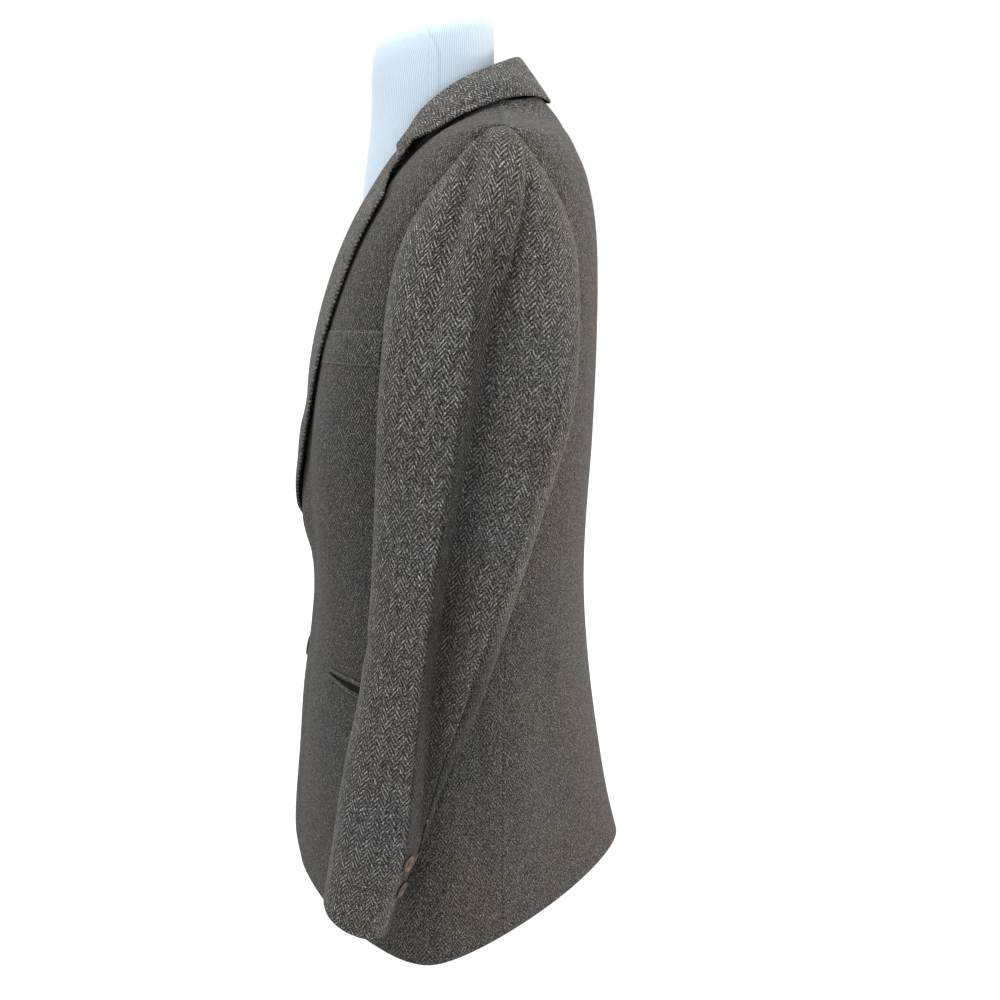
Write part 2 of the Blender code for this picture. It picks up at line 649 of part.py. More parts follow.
def full_sleeve(ring_index, turn, step):
    """A point of the sleeve without its fold: step runs from 0 at the armhole to 1 where
    the cap ends, and on down the sections to the cuff."""
    count = len(ARMHOLE_RING)
    low = int(math.floor(ring_index))
    share = ring_index - low
    _, low_point, low_normal = ARMHOLE_RING[low % count]
    _, high_point, high_normal = ARMHOLE_RING[(low + 1) % count]
    start = low_point.lerp(high_point, share)
    normal = low_normal.lerp(high_normal, share).normalized()
    to_centre = ARMHOLE_CENTRE - start
    to_centre = (to_centre - normal * to_centre.dot(normal)).normalized()
    over_top = max(0.0, start.z - ARMHOLE_CENTRE.z) / ARMHOLE_HALF_HEIGHT
    start = start + to_centre * (SEAM_GAP + HEAD_GAP * over_top ** 2)
    top_place = len(SLEEVE_ROWS) - 1.0
    if step >= 1.0:
        return sleeve_section(turn, top_place * (2.0 - step))
    end = sleeve_section(turn, top_place)
    below = sleeve_section(turn, top_place - 0.05)
    reach = (end - start).length
    lean = math.radians(68.0) * over_top ** 2
    leave = (normal * math.cos(lean) + to_centre * math.sin(lean)) * reach * mix(0.55, 0.75, over_top)
    arrive = (below - end).normalized() * reach * mix(0.8, 1.1, over_top)
    square, cube = step * step, step ** 3
    return (start * (2 * cube - 3 * square + 1) + leave * (cube - 2 * square + step)
            + end * (3 * square - 2 * cube) + arrive * (cube - square))


def sleeve_point(ring_index, turn, step):
    """A point of the folded sleeve, with the outward normal of the full one."""
    small = 0.02
    turn_step = small * 360.0 / len(ARMHOLE_RING)
    across = full_sleeve(ring_index + small, turn + turn_step, step)
    across = across - full_sleeve(ring_index - small, turn - turn_step, step)
    low, high = max(0.0, step - small / 2), min(2.0, step + small / 2)
    down = full_sleeve(ring_index, turn, high) - full_sleeve(ring_index, turn, low)
    facing = math.cos(math.radians(turn)) * smooth_step(step, 0.0, 0.5)
    return pressed_in(full_sleeve(ring_index, turn, step), facing), down.cross(across).normalized()


SLEEVE_STEPS = [step / CAP_STEPS for step in range(CAP_STEPS)]
SLEEVE_STEPS += [1.0 + step / 12.0 for step in range(13)]
HIND_SEAM_INDEX = 5.0
FRONT_SEAM_INDEX = -6.0
TOP_SLEEVE_COLUMNS = (10, 2, 5)     # front seam to ridge, ridge to trough, trough to hind seam
UNDER_SLEEVE_COLUMNS = 11
FRONT_SEAM_SECTION_TURN = -112.0


def section_place(step):
    return (len(SLEEVE_ROWS) - 1.0) * (2.0 - max(1.0, step))


def sleeve_breaks(step):
    """Turns of the front seam, the ridge, the trough and the hind seam at a step."""
    place = section_place(step)
    row = curve_through(SLEEVE_ROWS, place)
    fold = fold_at(row.height)
    ridge = section_turn(place, fold.ridge)
    trough = section_turn(place, fold.ridge + FOLD_EDGE)
    inset = mix(*HIND_SEAM_INSET, smooth_step(row.height, *HIND_SEAM_SWING))
    hind = section_turn(place, row.back - inset)
    hind = max(hind, trough + 6.0)
    return FRONT_SEAM_SECTION_TURN, ridge, trough, hind


def top_sleeve_grid():
    total = sum(TOP_SLEEVE_COLUMNS)
    grid = []
    for step in SLEEVE_STEPS:
        breaks = sleeve_breaks(step)
        turns = [breaks[0]]
        for low, high, count in zip(breaks, breaks[1:], TOP_SLEEVE_COLUMNS):
            turns += [mix(low, high, part / count) for part in range(1, count + 1)]
        row = []
        for column, turn in enumerate(turns):
            ring_index = mix(FRONT_SEAM_INDEX, HIND_SEAM_INDEX, column / total)
            row.append(sleeve_point(ring_index, turn, step))
        grid.append(row)
    return seam_inset(grid, gap=SLEEVE_SEAM_GAP)


def under_sleeve_grid():
    grid = []
    count = len(ARMHOLE_RING)
    for step in SLEEVE_STEPS:
        front, _, _, hind = sleeve_breaks(step)
        row = []
        for column in range(UNDER_SLEEVE_COLUMNS + 1):
            share = column / UNDER_SLEEVE_COLUMNS
            ring_index = mix(HIND_SEAM_INDEX, count + FRONT_SEAM_INDEX, share)
            row.append(sleeve_point(ring_index, mix(hind, front + 360.0, share), step))
        grid.append(row)
    return seam_inset(grid, gap=SLEEVE_SEAM_GAP)


# ---- Sheets given by their middle surface ------------------------------
def sheet(name, grid, wall, material):
    """A grid of points given thickness evenly on both sides."""
    rows, columns = len(grid), len(grid[0])
    shell = bmesh.new()
    bmesh.ops.create_grid(shell, x_segments=columns - 1, y_segments=rows - 1, size=1.0)
    shell.verts.ensure_lookup_table()
    for index, vertex in enumerate(shell.verts):
        vertex.co = grid[index // columns][index % columns]
    mesh = bpy.data.meshes.new(name)
    shell.to_mesh(mesh)
    shell.free()
    mesh.shade_smooth()
    shape = add_object(name, mesh, material)
    solid = shape.modifiers.new("cloth", "SOLIDIFY")
    solid.thickness = wall
    solid.offset = 0.0
    solid.use_even_offset = True
    solid.use_quality_normals = True
    return shape


def collar_section(row):
    """The collar from its neckline seam over the fold to its free edge."""
    seam, fold, edge = Vector(row.seam), Vector(row.fold), Vector(row.edge)
    out = edge - seam
    out = (out - Vector((0.0, 0.0, out.z))).normalized()
    inner = fold - out * 0.0030 - Vector((0.0, 0.0, 0.0032))
    outer = fold + out * 0.0034 - Vector((0.0, 0.0, 0.0034))
    lift = out * row.bulge * 0.5 + Vector((0.0, 0.0, row.bulge))
    return [seam, seam.lerp(inner, 0.4), seam.lerp(inner, 0.75), inner, fold, outer,
            outer.lerp(edge, 0.33) + lift, outer.lerp(edge, 0.68) + lift, edge]


FlatRow = namedtuple("FlatRow", "sx sy sz fx fy fz ex ey ez bulge")


def collar_grid():
    flat = [FlatRow(*row.seam, *row.fold, *row.edge, row.bulge) for row in COLLAR_ROWS]
    half = []
    for step in range(COLLAR_STEPS_EACH_SIDE + 1):
        value = curve_through(flat, (len(flat) - 1.0) * step / COLLAR_STEPS_EACH_SIDE)
        row = CollarRow((value.sx, value.sy, value.sz), (value.fx, value.fy, value.fz),
                        (value.ex, value.ey, value.ez), value.bulge)
        half.append(collar_section(row))
    half.append(gorge_row())
    flip = Vector((-1.0, 1.0, 1.0))
    other = [[point * flip for point in row] for row in half[1:]]
    return other[::-1] + half


def lapel_height(row, share):
    """Height over the chest of a row's lapel at a share of its width."""
    for low, high in zip(LAPEL_SECTION[4:], LAPEL_SECTION[5:]):
        if share <= high.share:
            part = (share - low.share) / (high.share - low.share)
            return mix(low.rise, high.rise, part) * row.rise + mix(low.hover, high.hover, part) * row.hover
    return row.hover


def gorge_row():
    """The collar's end along the gorge seam, just above the lapel's top row."""
    row = UPPER_LAPEL_ROWS[-1]
    along = Vector((row.edge_across - row.roll_across, row.edge_height - row.roll_height))
    width = along.length
    up = Vector((-along.y, along.x)) / width * (GORGE_GAP + DOUBLE_CLOTH * 0.1)
    points = []
    for part in LAPEL_SECTION:
        share = part.share * NOTCH_SHARE + part.distance / width
        out = part.rise * row.rise
        if part.share > 0.0:
            out = lapel_height(row, share)
        across = mix(row.roll_across, row.edge_across, share) + up.x
        height = mix(row.roll_height, row.edge_height, share) + up.y
        points.append(front_point(across, height, out))
    return points


def lapel_grid(rows, lifted):
    grid = []
    for step in range(LAPEL_STEPS + 1):
        row = curve_through(rows, (len(rows) - 1.0) * step / LAPEL_STEPS)
        width = math.hypot(row.edge_across - row.roll_across, row.edge_height - row.roll_height)
        points = []
        for index, part in enumerate(LAPEL_SECTION):
            share = part.share + part.distance * min(1.0, width / 0.02) / width
            share = mix(share, index / (len(LAPEL_SECTION) - 1.0), row.flat)
            out = part.rise * row.rise + part.hover * row.hover
            if index == 0:
                out = -CLOTH / 2.0
            out = mix(out, row.hover, row.flat)
            across = mix(row.roll_across, row.edge_across, share)
            height = mix(row.roll_height, row.edge_height, share)
            if lifted:
                out += front_lift(across, height)
            points.append(front_point(across, height, out))
        grid.append(points)
    return grid


# ---- Pockets -----------------------------------------------------------
def applied_grid(path, columns, low, high, out):
    """A strip on the body between two distances above a path."""
    grid = []
    for rise in (low, high):
        row = []
        for column in range(columns + 1):
            angle, place = path(column / columns, rise)
            row.append((body_point(angle, place, out), body_normal(angle, place)))
        grid.append(row)
    return grid


def breast_path(share, rise):
    across = mix(*BREAST_POCKET["across"], share)
    slanted = BREAST_POCKET["slant"] * (across - BREAST_POCKET["across"][0])
    place = place_at(BODY_ROWS, BREAST_POCKET["bottom"] + slanted + rise)
    return front_angle(across, place), place


def hip_path(share, rise):
    """A slanted line round the hip: it falls as it runs to the back."""
    front_across, front_height = HIP_POCKET_FRONT
    start = front_angle(front_across, place_at(BODY_ROWS, front_height))
    distance = HIP_POCKET_LENGTH * share
    angle = start + math.degrees(distance / 0.165)
    return angle, place_at(BODY_ROWS, front_height - distance * HIP_POCKET_DROP + rise)


# ---- Buttons -----------------------------------------------------------
def button(name, size, centre, facing):
    """A turned disc with a raised rim, its back on centre."""
    radius, thickness = size["radius"], size["thickness"]
    profile = [(0.0, thickness * 0.62), (radius * 0.62, thickness * 0.62), (radius * 0.76, thickness),
               (radius * 0.90, thickness), (radius, thickness * 0.6), (radius * 0.92, 0.0), (0.0, 0.0)]
    mesh = bpy.data.meshes.new(name)
    outline = bmesh.new()
    points = [outline.verts.new((across, 0.0, up)) for across, up in profile]
    edges = [outline.edges.new(pair) for pair in zip(points, points[1:])]
    bmesh.ops.spin(outline, geom=points + edges, cent=(0.0, 0.0, 0.0), axis=(0.0, 0.0, 1.0),
                   angle=math.tau, steps=16, use_merge=True)
    bmesh.ops.remove_doubles(outline, verts=outline.verts[:], dist=0.00005)
    bmesh.ops.recalc_face_normals(outline, faces=outline.faces[:])
    turn = facing.to_track_quat("Z", "Y").to_matrix().to_4x4()
    outline.transform(Matrix.Translation(centre) @ turn)
    outline.to_mesh(mesh)
    outline.free()
    mesh.shade_smooth()
    return add_object(name, mesh, HORN)


# ---- Dress form --------------------------------------------------------
def lofted(name, rings, material):
    """A closed solid through level rings of equally many points."""
    shell = bmesh.new()
    loops = []
    for ring in rings:
        vertices = [shell.verts.new(point) for point in ring]
        edges = [shell.edges.new((a, b)) for a, b in zip(vertices, vertices[1:] + vertices[:1])]
        loops.append(edges)
    for low, high in zip(loops, loops[1:]):
        bmesh.ops.bridge_loops(shell, edges=low + high)
    bmesh.ops.contextual_create(shell, geom=loops[0])
    bmesh.ops.contextual_create(shell, geom=loops[-1])
    bmesh.ops.recalc_face_normals(shell, faces=shell.faces[:])
    mesh = bpy.data.meshes.new(name)
    shell.to_mesh(mesh)
    shell.free()
    mesh.shade_smooth()
    mesh.set_sharp_from_angle(angle=math.radians(50.0))
    return add_object(name, mesh, material)


def form_ring(row):
    ring = []
    for side in range(FORM_SIDES):
        angle = math.tau * side / FORM_SIDES
        cosine, sine = math.cos(angle), math.sin(angle)
        factor = ring_factor(cosine, sine, row.power)
        depth = row.back - row.middle if sine > 0.0 else row.middle - row.front
        ring.append((row.half_width * cosine * factor, row.middle + depth * sine * factor, row.height))
    return ring


def neck_ring(row):
    ring = []
    for side in range(NECK_SIDES):
        angle = math.tau * side / NECK_SIDES
        depth = row.radius * math.sin(angle)
        slope = NECK_TOP_SLOPE * depth * smooth_step(row.height, NECK_SLOPE_FROM, 0.82)
        ring.append((row.radius * math.cos(angle), row.middle + depth, row.height + slope))
    return ring


def dress_form():
    torso = lofted("dress_form", [form_ring(row) for row in FORM_ROWS], JERSEY)
    neck = lofted("neck_cutter", [neck_ring(row) for row in NECK_ROWS], JERSEY)
    jacket.objects.unlink(neck)
    tools.objects.link(neck)
    neck.hide_render = True
    neck.display_type = "WIRE"
    join = torso.modifiers.new("neck", "BOOLEAN")
    join.operation = "UNION"
    join.object = neck


tools = bpy.data.collections.new("joining_shapes")
bpy.context.scene.collection.children.link(tools)


# ---- The whole ---------------------------------------------------------
def build():
    dress_form()
    cloth_wall("back_left", back_grid(with_vent=False), TWEED)
    cloth_wall("back_right", mirrored(back_grid(with_vent=True)), TWEED)
    cloth_wall("front_left", front_grid(lifted=True), TWEED)
    cloth_wall("front_right", mirrored(front_grid(lifted=False)), TWEED)
    pieces = {"side": side_grid(), "top_sleeve": top_sleeve_grid(), "under_sleeve": under_sleeve_grid()}
    for name, grid in pieces.items():
        cloth_wall(name + "_left", grid, TWEED)
        cloth_wall(name + "_right", mirrored(grid), TWEED)
    sheet("collar", collar_grid(), DOUBLE_CLOTH, TWEED)
    flip = Vector((-1.0, 1.0, 1.0))
    right_lapel = [[point * flip for point in row] for row in lapel_grid(RIGHT_LAPEL_ROWS, lifted=False)]
    sheet("lapel_left", lapel_grid(LEFT_LAPEL_ROWS, lifted=True), DOUBLE_CLOTH, TWEED)
    sheet("lapel_right", right_lapel, DOUBLE_CLOTH, TWEED)

    out = APPLIED_GAP + APPLIED_WALL
    welt = applied_grid(breast_path, BREAST_POCKET["columns"], 0.0, BREAST_POCKET["height"], out)
    cloth_wall("breast_welt", welt, TWEED, APPLIED_WALL)
    strips = {
        "hip_jet_upper": (MOUTH_HEIGHT / 2.0, MOUTH_HEIGHT / 2.0 + JET_HEIGHT, out, TWEED),
        "hip_pocket_mouth": (SEAM_GAP - MOUTH_HEIGHT / 2.0, MOUTH_HEIGHT / 2.0 - SEAM_GAP,
                             APPLIED_GAP + APPLIED_WALL / 2.0, UNDERCOLLAR),
        "hip_jet_lower": (-MOUTH_HEIGHT / 2.0 - JET_HEIGHT, -MOUTH_HEIGHT / 2.0, out, TWEED),
    }
    for name, (low, high, outer, material) in strips.items():
        grid = applied_grid(hip_path, HIP_POCKET_COLUMNS, low, high, outer)
        wall = outer - APPLIED_GAP
        cloth_wall(name + "_left", grid, material, wall)
        cloth_wall(name + "_right", mirrored(grid), material, wall)

    for number, height in enumerate(FRONT_BUTTON_HEIGHTS, start=1):
        low, high = (front_point(0.0, end, front_lift(0.0, end))
                     for end in (height - FRONT_BUTTON["radius"], height + FRONT_BUTTON["radius"]))
        facing = Vector((1.0, 0.0, 0.0)).cross(high - low).normalized()
        button("front_button_%d" % number, FRONT_BUTTON, (low + high) / 2.0 + facing * BUTTON_SHANK, facing)
    for number, (height, turn, shank) in enumerate(CUFF_BUTTON_PLACES, start=1):
        place = place_at(SLEEVE_ROWS, height)
        step = 2.0 - place / (len(SLEEVE_ROWS) - 1.0)
        across = sleeve_point(0.0, turn + 6.0, step)[0] - sleeve_point(0.0, turn - 6.0, step)[0]
        down = sleeve_point(0.0, turn, step + 0.02)[0] - sleeve_point(0.0, turn, step - 0.02)[0]
        facing = down.cross(across).normalized()
        centre = sleeve_point(0.0, turn, step)[0] + facing * shank
        flip = Vector((-1.0, 1.0, 1.0))
        button("cuff_button_%d_left" % number, CUFF_BUTTON, centre, facing)
        button("cuff_button_%d_right" % number, CUFF_BUTTON, centre * flip, facing * flip)


build()
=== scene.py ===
# Tweed jacket on a limbless dress form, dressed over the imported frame.
# Metres, +Z up. The wearer faces -Y and the wearer's left is +X.
import math

import bmesh
import bpy
import numpy as np
from mathutils import Matrix, Vector


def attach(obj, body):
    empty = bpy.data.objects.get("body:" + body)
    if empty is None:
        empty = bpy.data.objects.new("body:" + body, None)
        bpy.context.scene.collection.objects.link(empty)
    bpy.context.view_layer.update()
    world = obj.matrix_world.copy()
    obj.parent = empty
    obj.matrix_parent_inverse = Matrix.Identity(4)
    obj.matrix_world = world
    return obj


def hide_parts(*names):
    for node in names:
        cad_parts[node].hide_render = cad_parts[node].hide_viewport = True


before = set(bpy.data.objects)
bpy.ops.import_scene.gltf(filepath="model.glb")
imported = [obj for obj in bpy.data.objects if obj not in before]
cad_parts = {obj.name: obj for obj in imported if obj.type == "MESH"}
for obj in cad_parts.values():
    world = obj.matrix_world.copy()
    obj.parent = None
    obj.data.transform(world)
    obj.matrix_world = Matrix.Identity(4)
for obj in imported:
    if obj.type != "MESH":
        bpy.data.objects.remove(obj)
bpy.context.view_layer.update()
scene = bpy.context.scene
scene.view_settings.view_transform = "Standard"
mirror = np.array([-1.0, 1.0, 1.0])
sides = (("left", np.ones(3)), ("right", mirror))
ringSoftness = 0.008     # keeps a ring's curve smooth where it crosses its axes
tableSamples = 6000      # for reading a table backwards
searchSteps = 32
waveCount = 14

# Small tools
def mix(low, high, share):
    return low + (high - low) * share


def smoothStep(value, low, high):
    share = np.clip((value - low) / (high - low), 0.0, 1.0)
    return share * share * (3.0 - 2.0 * share)


def bell(value, width):
    return np.exp(-(value / width) ** 2)


def unit(vectors):
    return vectors / np.maximum(np.linalg.norm(vectors, axis=-1, keepdims=True), 1e-9)


def cosSin(degrees):
    return np.cos(np.radians(degrees)), np.sin(np.radians(degrees))


def findTurn(low, high, isShort):  # halves the range until only the turn where isShort changes is left
    for _ in range(searchSteps):
        middle = (low + high) / 2.0
        short = isShort(middle)
        low, high = np.where(short, middle, low), np.where(short, high, middle)
    return (low + high) / 2.0


def rowAt(rows, place):  # a table read on a smooth curve, at places counted in rows
    place = np.clip(np.asarray(place, float), 0.0, len(rows) - 1.0)
    low = np.minimum(len(rows) - 2, place.astype(int))
    share = (place - low)[..., None]
    a, b, c, d = (rows[np.clip(low + step, 0, len(rows) - 1)] for step in (-1, 0, 1, 2))
    leave = np.where((low == 0)[..., None], c - b, (c - a) / 2.0)
    arrive = np.where((low == len(rows) - 2)[..., None], c - b, (d - b) / 2.0)
    cubic = 2.0 * b - 2.0 * c + leave + arrive
    square = -3.0 * b + 3.0 * c - 2.0 * leave - arrive
    return ((cubic * share + square) * share + leave) * share + b


def placeAt(rows, height):  # the place at which a table's first column has this height
    places = np.linspace(0.0, len(rows) - 1.0, tableSamples)
    return np.interp(height, rowAt(rows, places)[:, 0], places)


def ringFactor(cosine, sine, power):
    def norm(one, other):
        return (one ** 2 + ringSoftness) ** (power / 2) + (other ** 2 + ringSoftness) ** (power / 2)
    return (norm(1.0, 0.0) / norm(cosine, sine)) ** (1.0 / power)


def arcLengths(points, axis):  # running length along a grid's rows (axis 1) or columns (axis 0)
    steps = np.linalg.norm(np.diff(points, axis=axis), axis=-1)
    start = np.zeros_like(steps.take([0], axis=axis))
    return np.concatenate([start, np.cumsum(steps, axis=axis)], axis=axis)


def gridNormals(points, outward):  # outward only says which side is out
    normals = unit(np.cross(np.gradient(points, axis=1), np.gradient(points, axis=0)))
    return normals if (normals * outward).sum() > 0.0 else -normals


def waves(points, seed, size):  # soft unevenness from -1 to 1, size in metres for each axis
    dice = np.random.default_rng(seed)
    total = np.zeros(points.shape[:-1])
    for _ in range(waveCount):
        direction = dice.normal(size=3) / np.asarray(size)
        total += np.sin(points @ direction * 2.0 + dice.uniform(0.0, math.tau))
    return total / math.sqrt(waveCount / 2.0) / 2.0


# Signed distance to a path in the (depth, height) plane, and the share of the way along it.
def pathDistance(points, path):
    flat = points[..., 1:]
    best = np.full(flat.shape[:-1], 1e9)
    side = np.zeros(flat.shape[:-1])
    along = np.zeros(flat.shape[:-1])
    path = np.asarray(path, float)
    lengths = np.concatenate([[0.0], np.cumsum(np.linalg.norm(np.diff(path, axis=0), axis=1))])
    for index, (start, end) in enumerate(zip(path, path[1:])):
        run = end - start
        share = np.clip(((flat - start) @ run) / (run @ run), 0.0, 1.0)
        gap = flat - (start + share[..., None] * run)
        distance = np.linalg.norm(gap, axis=-1)
        nearer = distance < best
        best = np.where(nearer, distance, best)
        side = np.where(nearer, np.sign(gap[..., 0] * run[1] - gap[..., 1] * run[0]), side)
        along = np.where(nearer, mix(lengths[index], lengths[index + 1], share) / lengths[-1], along)
    return best * side, along


# The body's surface: height, half width, middle, front, back, front power, back power
bodyRows = np.array([
    (0.012, 0.2380, -0.014, -0.1665, 0.1755, 1.50, 1.28),
    (0.060, 0.2280, -0.012, -0.1630, 0.1640, 1.55, 1.38),
    (0.120, 0.2150, -0.009, -0.1570, 0.1535, 1.65, 1.55),
    (0.190, 0.2005, -0.005, -0.1502, 0.1435, 1.80, 1.75),
    (0.260, 0.1880, 0.000, -0.1390, 0.1365, 1.95, 1.90),
    (0.315, 0.1820, 0.004, -0.1330, 0.1340, 2.05, 2.00),
    (0.375, 0.1820, 0.008, -0.1340, 0.1355, 2.10, 2.05),
    (0.450, 0.1860, 0.012, -0.1320, 0.1400, 2.15, 2.10),
    (0.530, 0.1900, 0.017, -0.1195, 0.1430, 2.20, 2.10),
    (0.600, 0.1920, 0.022, -0.0990, 0.1428, 2.20, 2.10),
    (0.650, 0.1940, 0.028, -0.0770, 0.1395, 2.15, 2.05),
    (0.690, 0.1970, 0.034, -0.0510, 0.1310, 2.00, 2.00),
    (0.715, 0.1990, 0.039, -0.0290, 0.1203, 1.75, 1.85),
    (0.727, 0.1960, 0.042, -0.0170, 0.1143, 1.40, 1.60),
    (0.7335, 0.1520, 0.043, -0.0110, 0.1100, 1.35, 1.50),
    (0.740, 0.1060, 0.042, -0.0100, 0.1060, 1.40, 1.55),
    (0.747, 0.0820, 0.040, -0.0130, 0.1010, 1.60, 1.75),
    (0.755, 0.0715, 0.037, -0.0180, 0.0940, 1.90, 2.00),
    (0.763, 0.0650, 0.033, -0.0220, 0.0865, 2.00, 2.00),
    (0.771, 0.0600, 0.029, -0.0250, 0.0790, 2.00, 2.00),
])
cloth = {"wall": 0.0022, "double": 0.0028,
         # seamDark and seamLine: strength and width of the painted shade along each seam's groove
         "seamGap": 0.00010, "seamDip": 0.0006, "seamWidth": 0.0022, "seamDark": 0.30, "seamLine": 0.0011}
armhole = {"angle": 7.5, "halfAngle": 33.5, "height": 0.621, "halfHeight": 0.727 - 0.621}
backSeam = {"low": 23.5, "high": 31.0, "from": 0.33, "to": 0.55}    # degrees below and above two heights
frontSeamAngle = -14.0
shoulderHeight, neckPointHeight, backNeckHeight = 0.727, 0.755, 0.770


def bodySurface(angle, place):  # degrees round from the left side, 90 at the centre back
    angle, place = np.broadcast_arrays(np.asarray(angle, float), np.asarray(place, float))
    row = rowAt(bodyRows, place)
    cosine, sine = cosSin(angle)
    atFront = sine < 0.0
    depth = np.where(atFront, row[..., 2] - row[..., 3], row[..., 4] - row[..., 2])
    power = np.where(atFront, row[..., 5], row[..., 6])
    factor = ringFactor(cosine, sine, power)
    across, back = row[..., 1] * cosine * factor, row[..., 2] + depth * sine * factor
    return np.stack([across, back, row[..., 0]], axis=-1)


def bodyNormal(angle, place):
    across = bodySurface(angle + 0.25, place) - bodySurface(angle - 0.25, place)
    high = np.minimum(len(bodyRows) - 1.0, place + 0.01)
    up = bodySurface(angle, high) - bodySurface(angle, np.maximum(0.0, place - 0.01))
    return unit(np.cross(across, up))


def bodyPoint(angle, place, out):
    return bodySurface(angle, place) + bodyNormal(angle, place) * np.asarray(out)[..., None]


def angleAcross(across, place):  # the angle at which a ring's front is this far from the centre
    across, place = np.broadcast_arrays(np.asarray(across, float), np.asarray(place, float))
    low, high = np.full(across.shape, -150.0), np.full(across.shape, -0.001)
    return findTurn(low, high, lambda angle: bodySurface(angle, place)[..., 0] < across)


def bodyPlace(height):
    return placeAt(bodyRows, height)


def frontPoint(across, height, out):
    place = bodyPlace(height)
    return bodyPoint(angleAcross(across, place), place, out)


def armholeAngle(turn):
    return armhole["angle"] + armhole["halfAngle"] * np.sin(np.radians(turn))


def armholePlace(turn):
    return bodyPlace(armhole["height"] + armhole["halfHeight"] * np.cos(np.radians(turn)))


def armholeTurn(angle):  # where the lower half of the armhole meets a seam at this angle
    return 180.0 - math.degrees(math.asin((angle - armhole["angle"]) / armhole["halfAngle"]))


def backSeamAngle(height):
    return mix(backSeam["low"], backSeam["high"], smoothStep(height, backSeam["from"], backSeam["to"]))


backSeamTurn, frontSeamTurn = armholeTurn(backSeam["high"]), armholeTurn(frontSeamAngle)
shoulderPlace, neckPointPlace, backNeckPlace = (
    float(bodyPlace(height)) for height in (shoulderHeight, neckPointHeight, backNeckHeight))

frontEdge = {"overlap": 0.017, "lift": 0.0030, "underCollar": 0.008, "foot": 0.012,
             "cutawayTop": 0.21, "cutawayWidth": 0.100, "cutawayPower": 2.4}
rollRows = np.array([(0.355, -0.017), (0.690, 0.0595), (0.708, 0.0640), (0.722, 0.0660),
                     (0.735, 0.0680), (0.747, 0.0708), (0.755, 0.0700)])
breakRows = np.array([(0.290, 0.0), (0.320, 0.0020), (0.335, 0.0042), (0.348, 0.0082), (0.360, 0.0105),
                      (0.372, 0.0107), (0.391, 0.0098), (0.407, 0.0075), (0.430, 0.0037), (0.470, 0.0)])


def frontEdgeAcross(height):  # distance of the front edge, or of the roll line, from the centre line
    top, power = frontEdge["cutawayTop"], frontEdge["cutawayPower"]
    roll = np.interp(height, rollRows[:, 0], rollRows[:, 1])
    roll = roll - frontEdge["underCollar"] * smoothStep(height, 0.690, 0.700)    # it goes on under the collar
    share = np.clip((top - height) / (top - frontEdge["foot"]), 0.0, 1.0)
    curve = frontEdge["cutawayWidth"] * (1.0 - (1.0 - share ** power) ** (1.0 / power))
    return np.where(height >= top, roll, -frontEdge["overlap"] + curve)


def frontLift(across, height):  # the left front passes over the right one, and rises where the lapel breaks
    nearCentre = 1.0 - smoothStep(across, 0.024, 0.060)
    lift = frontEdge["lift"] * nearCentre * (1.0 - smoothStep(height, 0.452, 0.490))
    low, high = breakRows[0, 0], breakRows[-1, 0]
    rise = rowAt(breakRows, placeAt(breakRows, np.clip(height, low, high)))[..., 1]
    return lift + rise * (1.0 - smoothStep(across, 0.002, 0.070))


# Laying a panel flat, so that the weave runs along the warp and keeps its scale
chartRounds = 1600


def flatChart(points, normals, warp):
    up = unit(warp - normals * (warp * normals).sum(-1, keepdims=True))
    right = np.cross(up, normals)
    rowRuns, columnRuns = np.diff(points, axis=1), np.diff(points, axis=0)
    rowSizes = np.linalg.norm(rowRuns, axis=-1) + 1e-6
    columnSizes = np.linalg.norm(columnRuns, axis=-1) + 1e-6

    def spread(sizes, axis):  # the mean of the two edges at each point
        pad = np.concatenate([sizes.take([0], axis=axis), sizes, sizes.take([-1], axis=axis)], axis=axis)
        count = pad.shape[axis] - 1
        return (pad.take(range(count), axis=axis) + pad.take(range(1, count + 1), axis=axis)) / 2.0

    tall, wide = spread(columnSizes, 0), spread(rowSizes, 1)
    rowPull = (tall[:, 1:] + tall[:, :-1]) / 2.0 / rowSizes
    columnPull = (wide[1:] + wide[:-1]) / 2.0 / columnSizes

    def gather(rowFlow, columnFlow):
        total = np.zeros(points.shape[:2])
        total[:, 1:] += rowFlow
        total[:, :-1] -= rowFlow
        total[1:] += columnFlow
        total[:-1] -= columnFlow
        return total

    def stiffness(field):
        return gather(rowPull * np.diff(field, axis=1), columnPull * np.diff(field, axis=0))

    weight = np.zeros(points.shape[:2])
    weight[:, 1:] += rowPull
    weight[:, :-1] += rowPull
    weight[1:] += columnPull
    weight[:-1] += columnPull
    charts = []
    along, down = arcLengths(points, 1), arcLengths(points, 0)
    for direction, guess in ((right, along), (up, down)):
        rowGoal = (rowRuns * (direction[:, 1:] + direction[:, :-1]) / 2.0).sum(-1)
        columnGoal = (columnRuns * (direction[1:] + direction[:-1]) / 2.0).sum(-1)
        if direction is right:
            guess = guess * np.sign(rowGoal.sum())
        field = guess.copy()
        rest = gather(rowPull * rowGoal, columnPull * columnGoal) - stiffness(field)
        step = rest / weight
        search, energy = step.copy(), (rest * step).sum()
        for _ in range(chartRounds):
            push = stiffness(search)
            length = energy / (search * push).sum()
            field += length * search
            rest -= length * push
            step = rest / weight
            renewed = (rest * step).sum()
            if renewed < 1e-14:
                break
            search, energy = step + search * (renewed / energy), renewed
        print("  laid flat, rest", float(np.abs(rest).max()))
        charts.append(field)
    return np.stack(charts, axis=-1)


# Materials
def linear(colour):  # an sRGB hex colour as linear light
    values = [int(colour[index:index + 2], 16) / 255.0 for index in (1, 3, 5)]
    return tuple(v / 12.92 if v <= 0.04045 else ((v + 0.055) / 1.055) ** 2.4 for v in values)


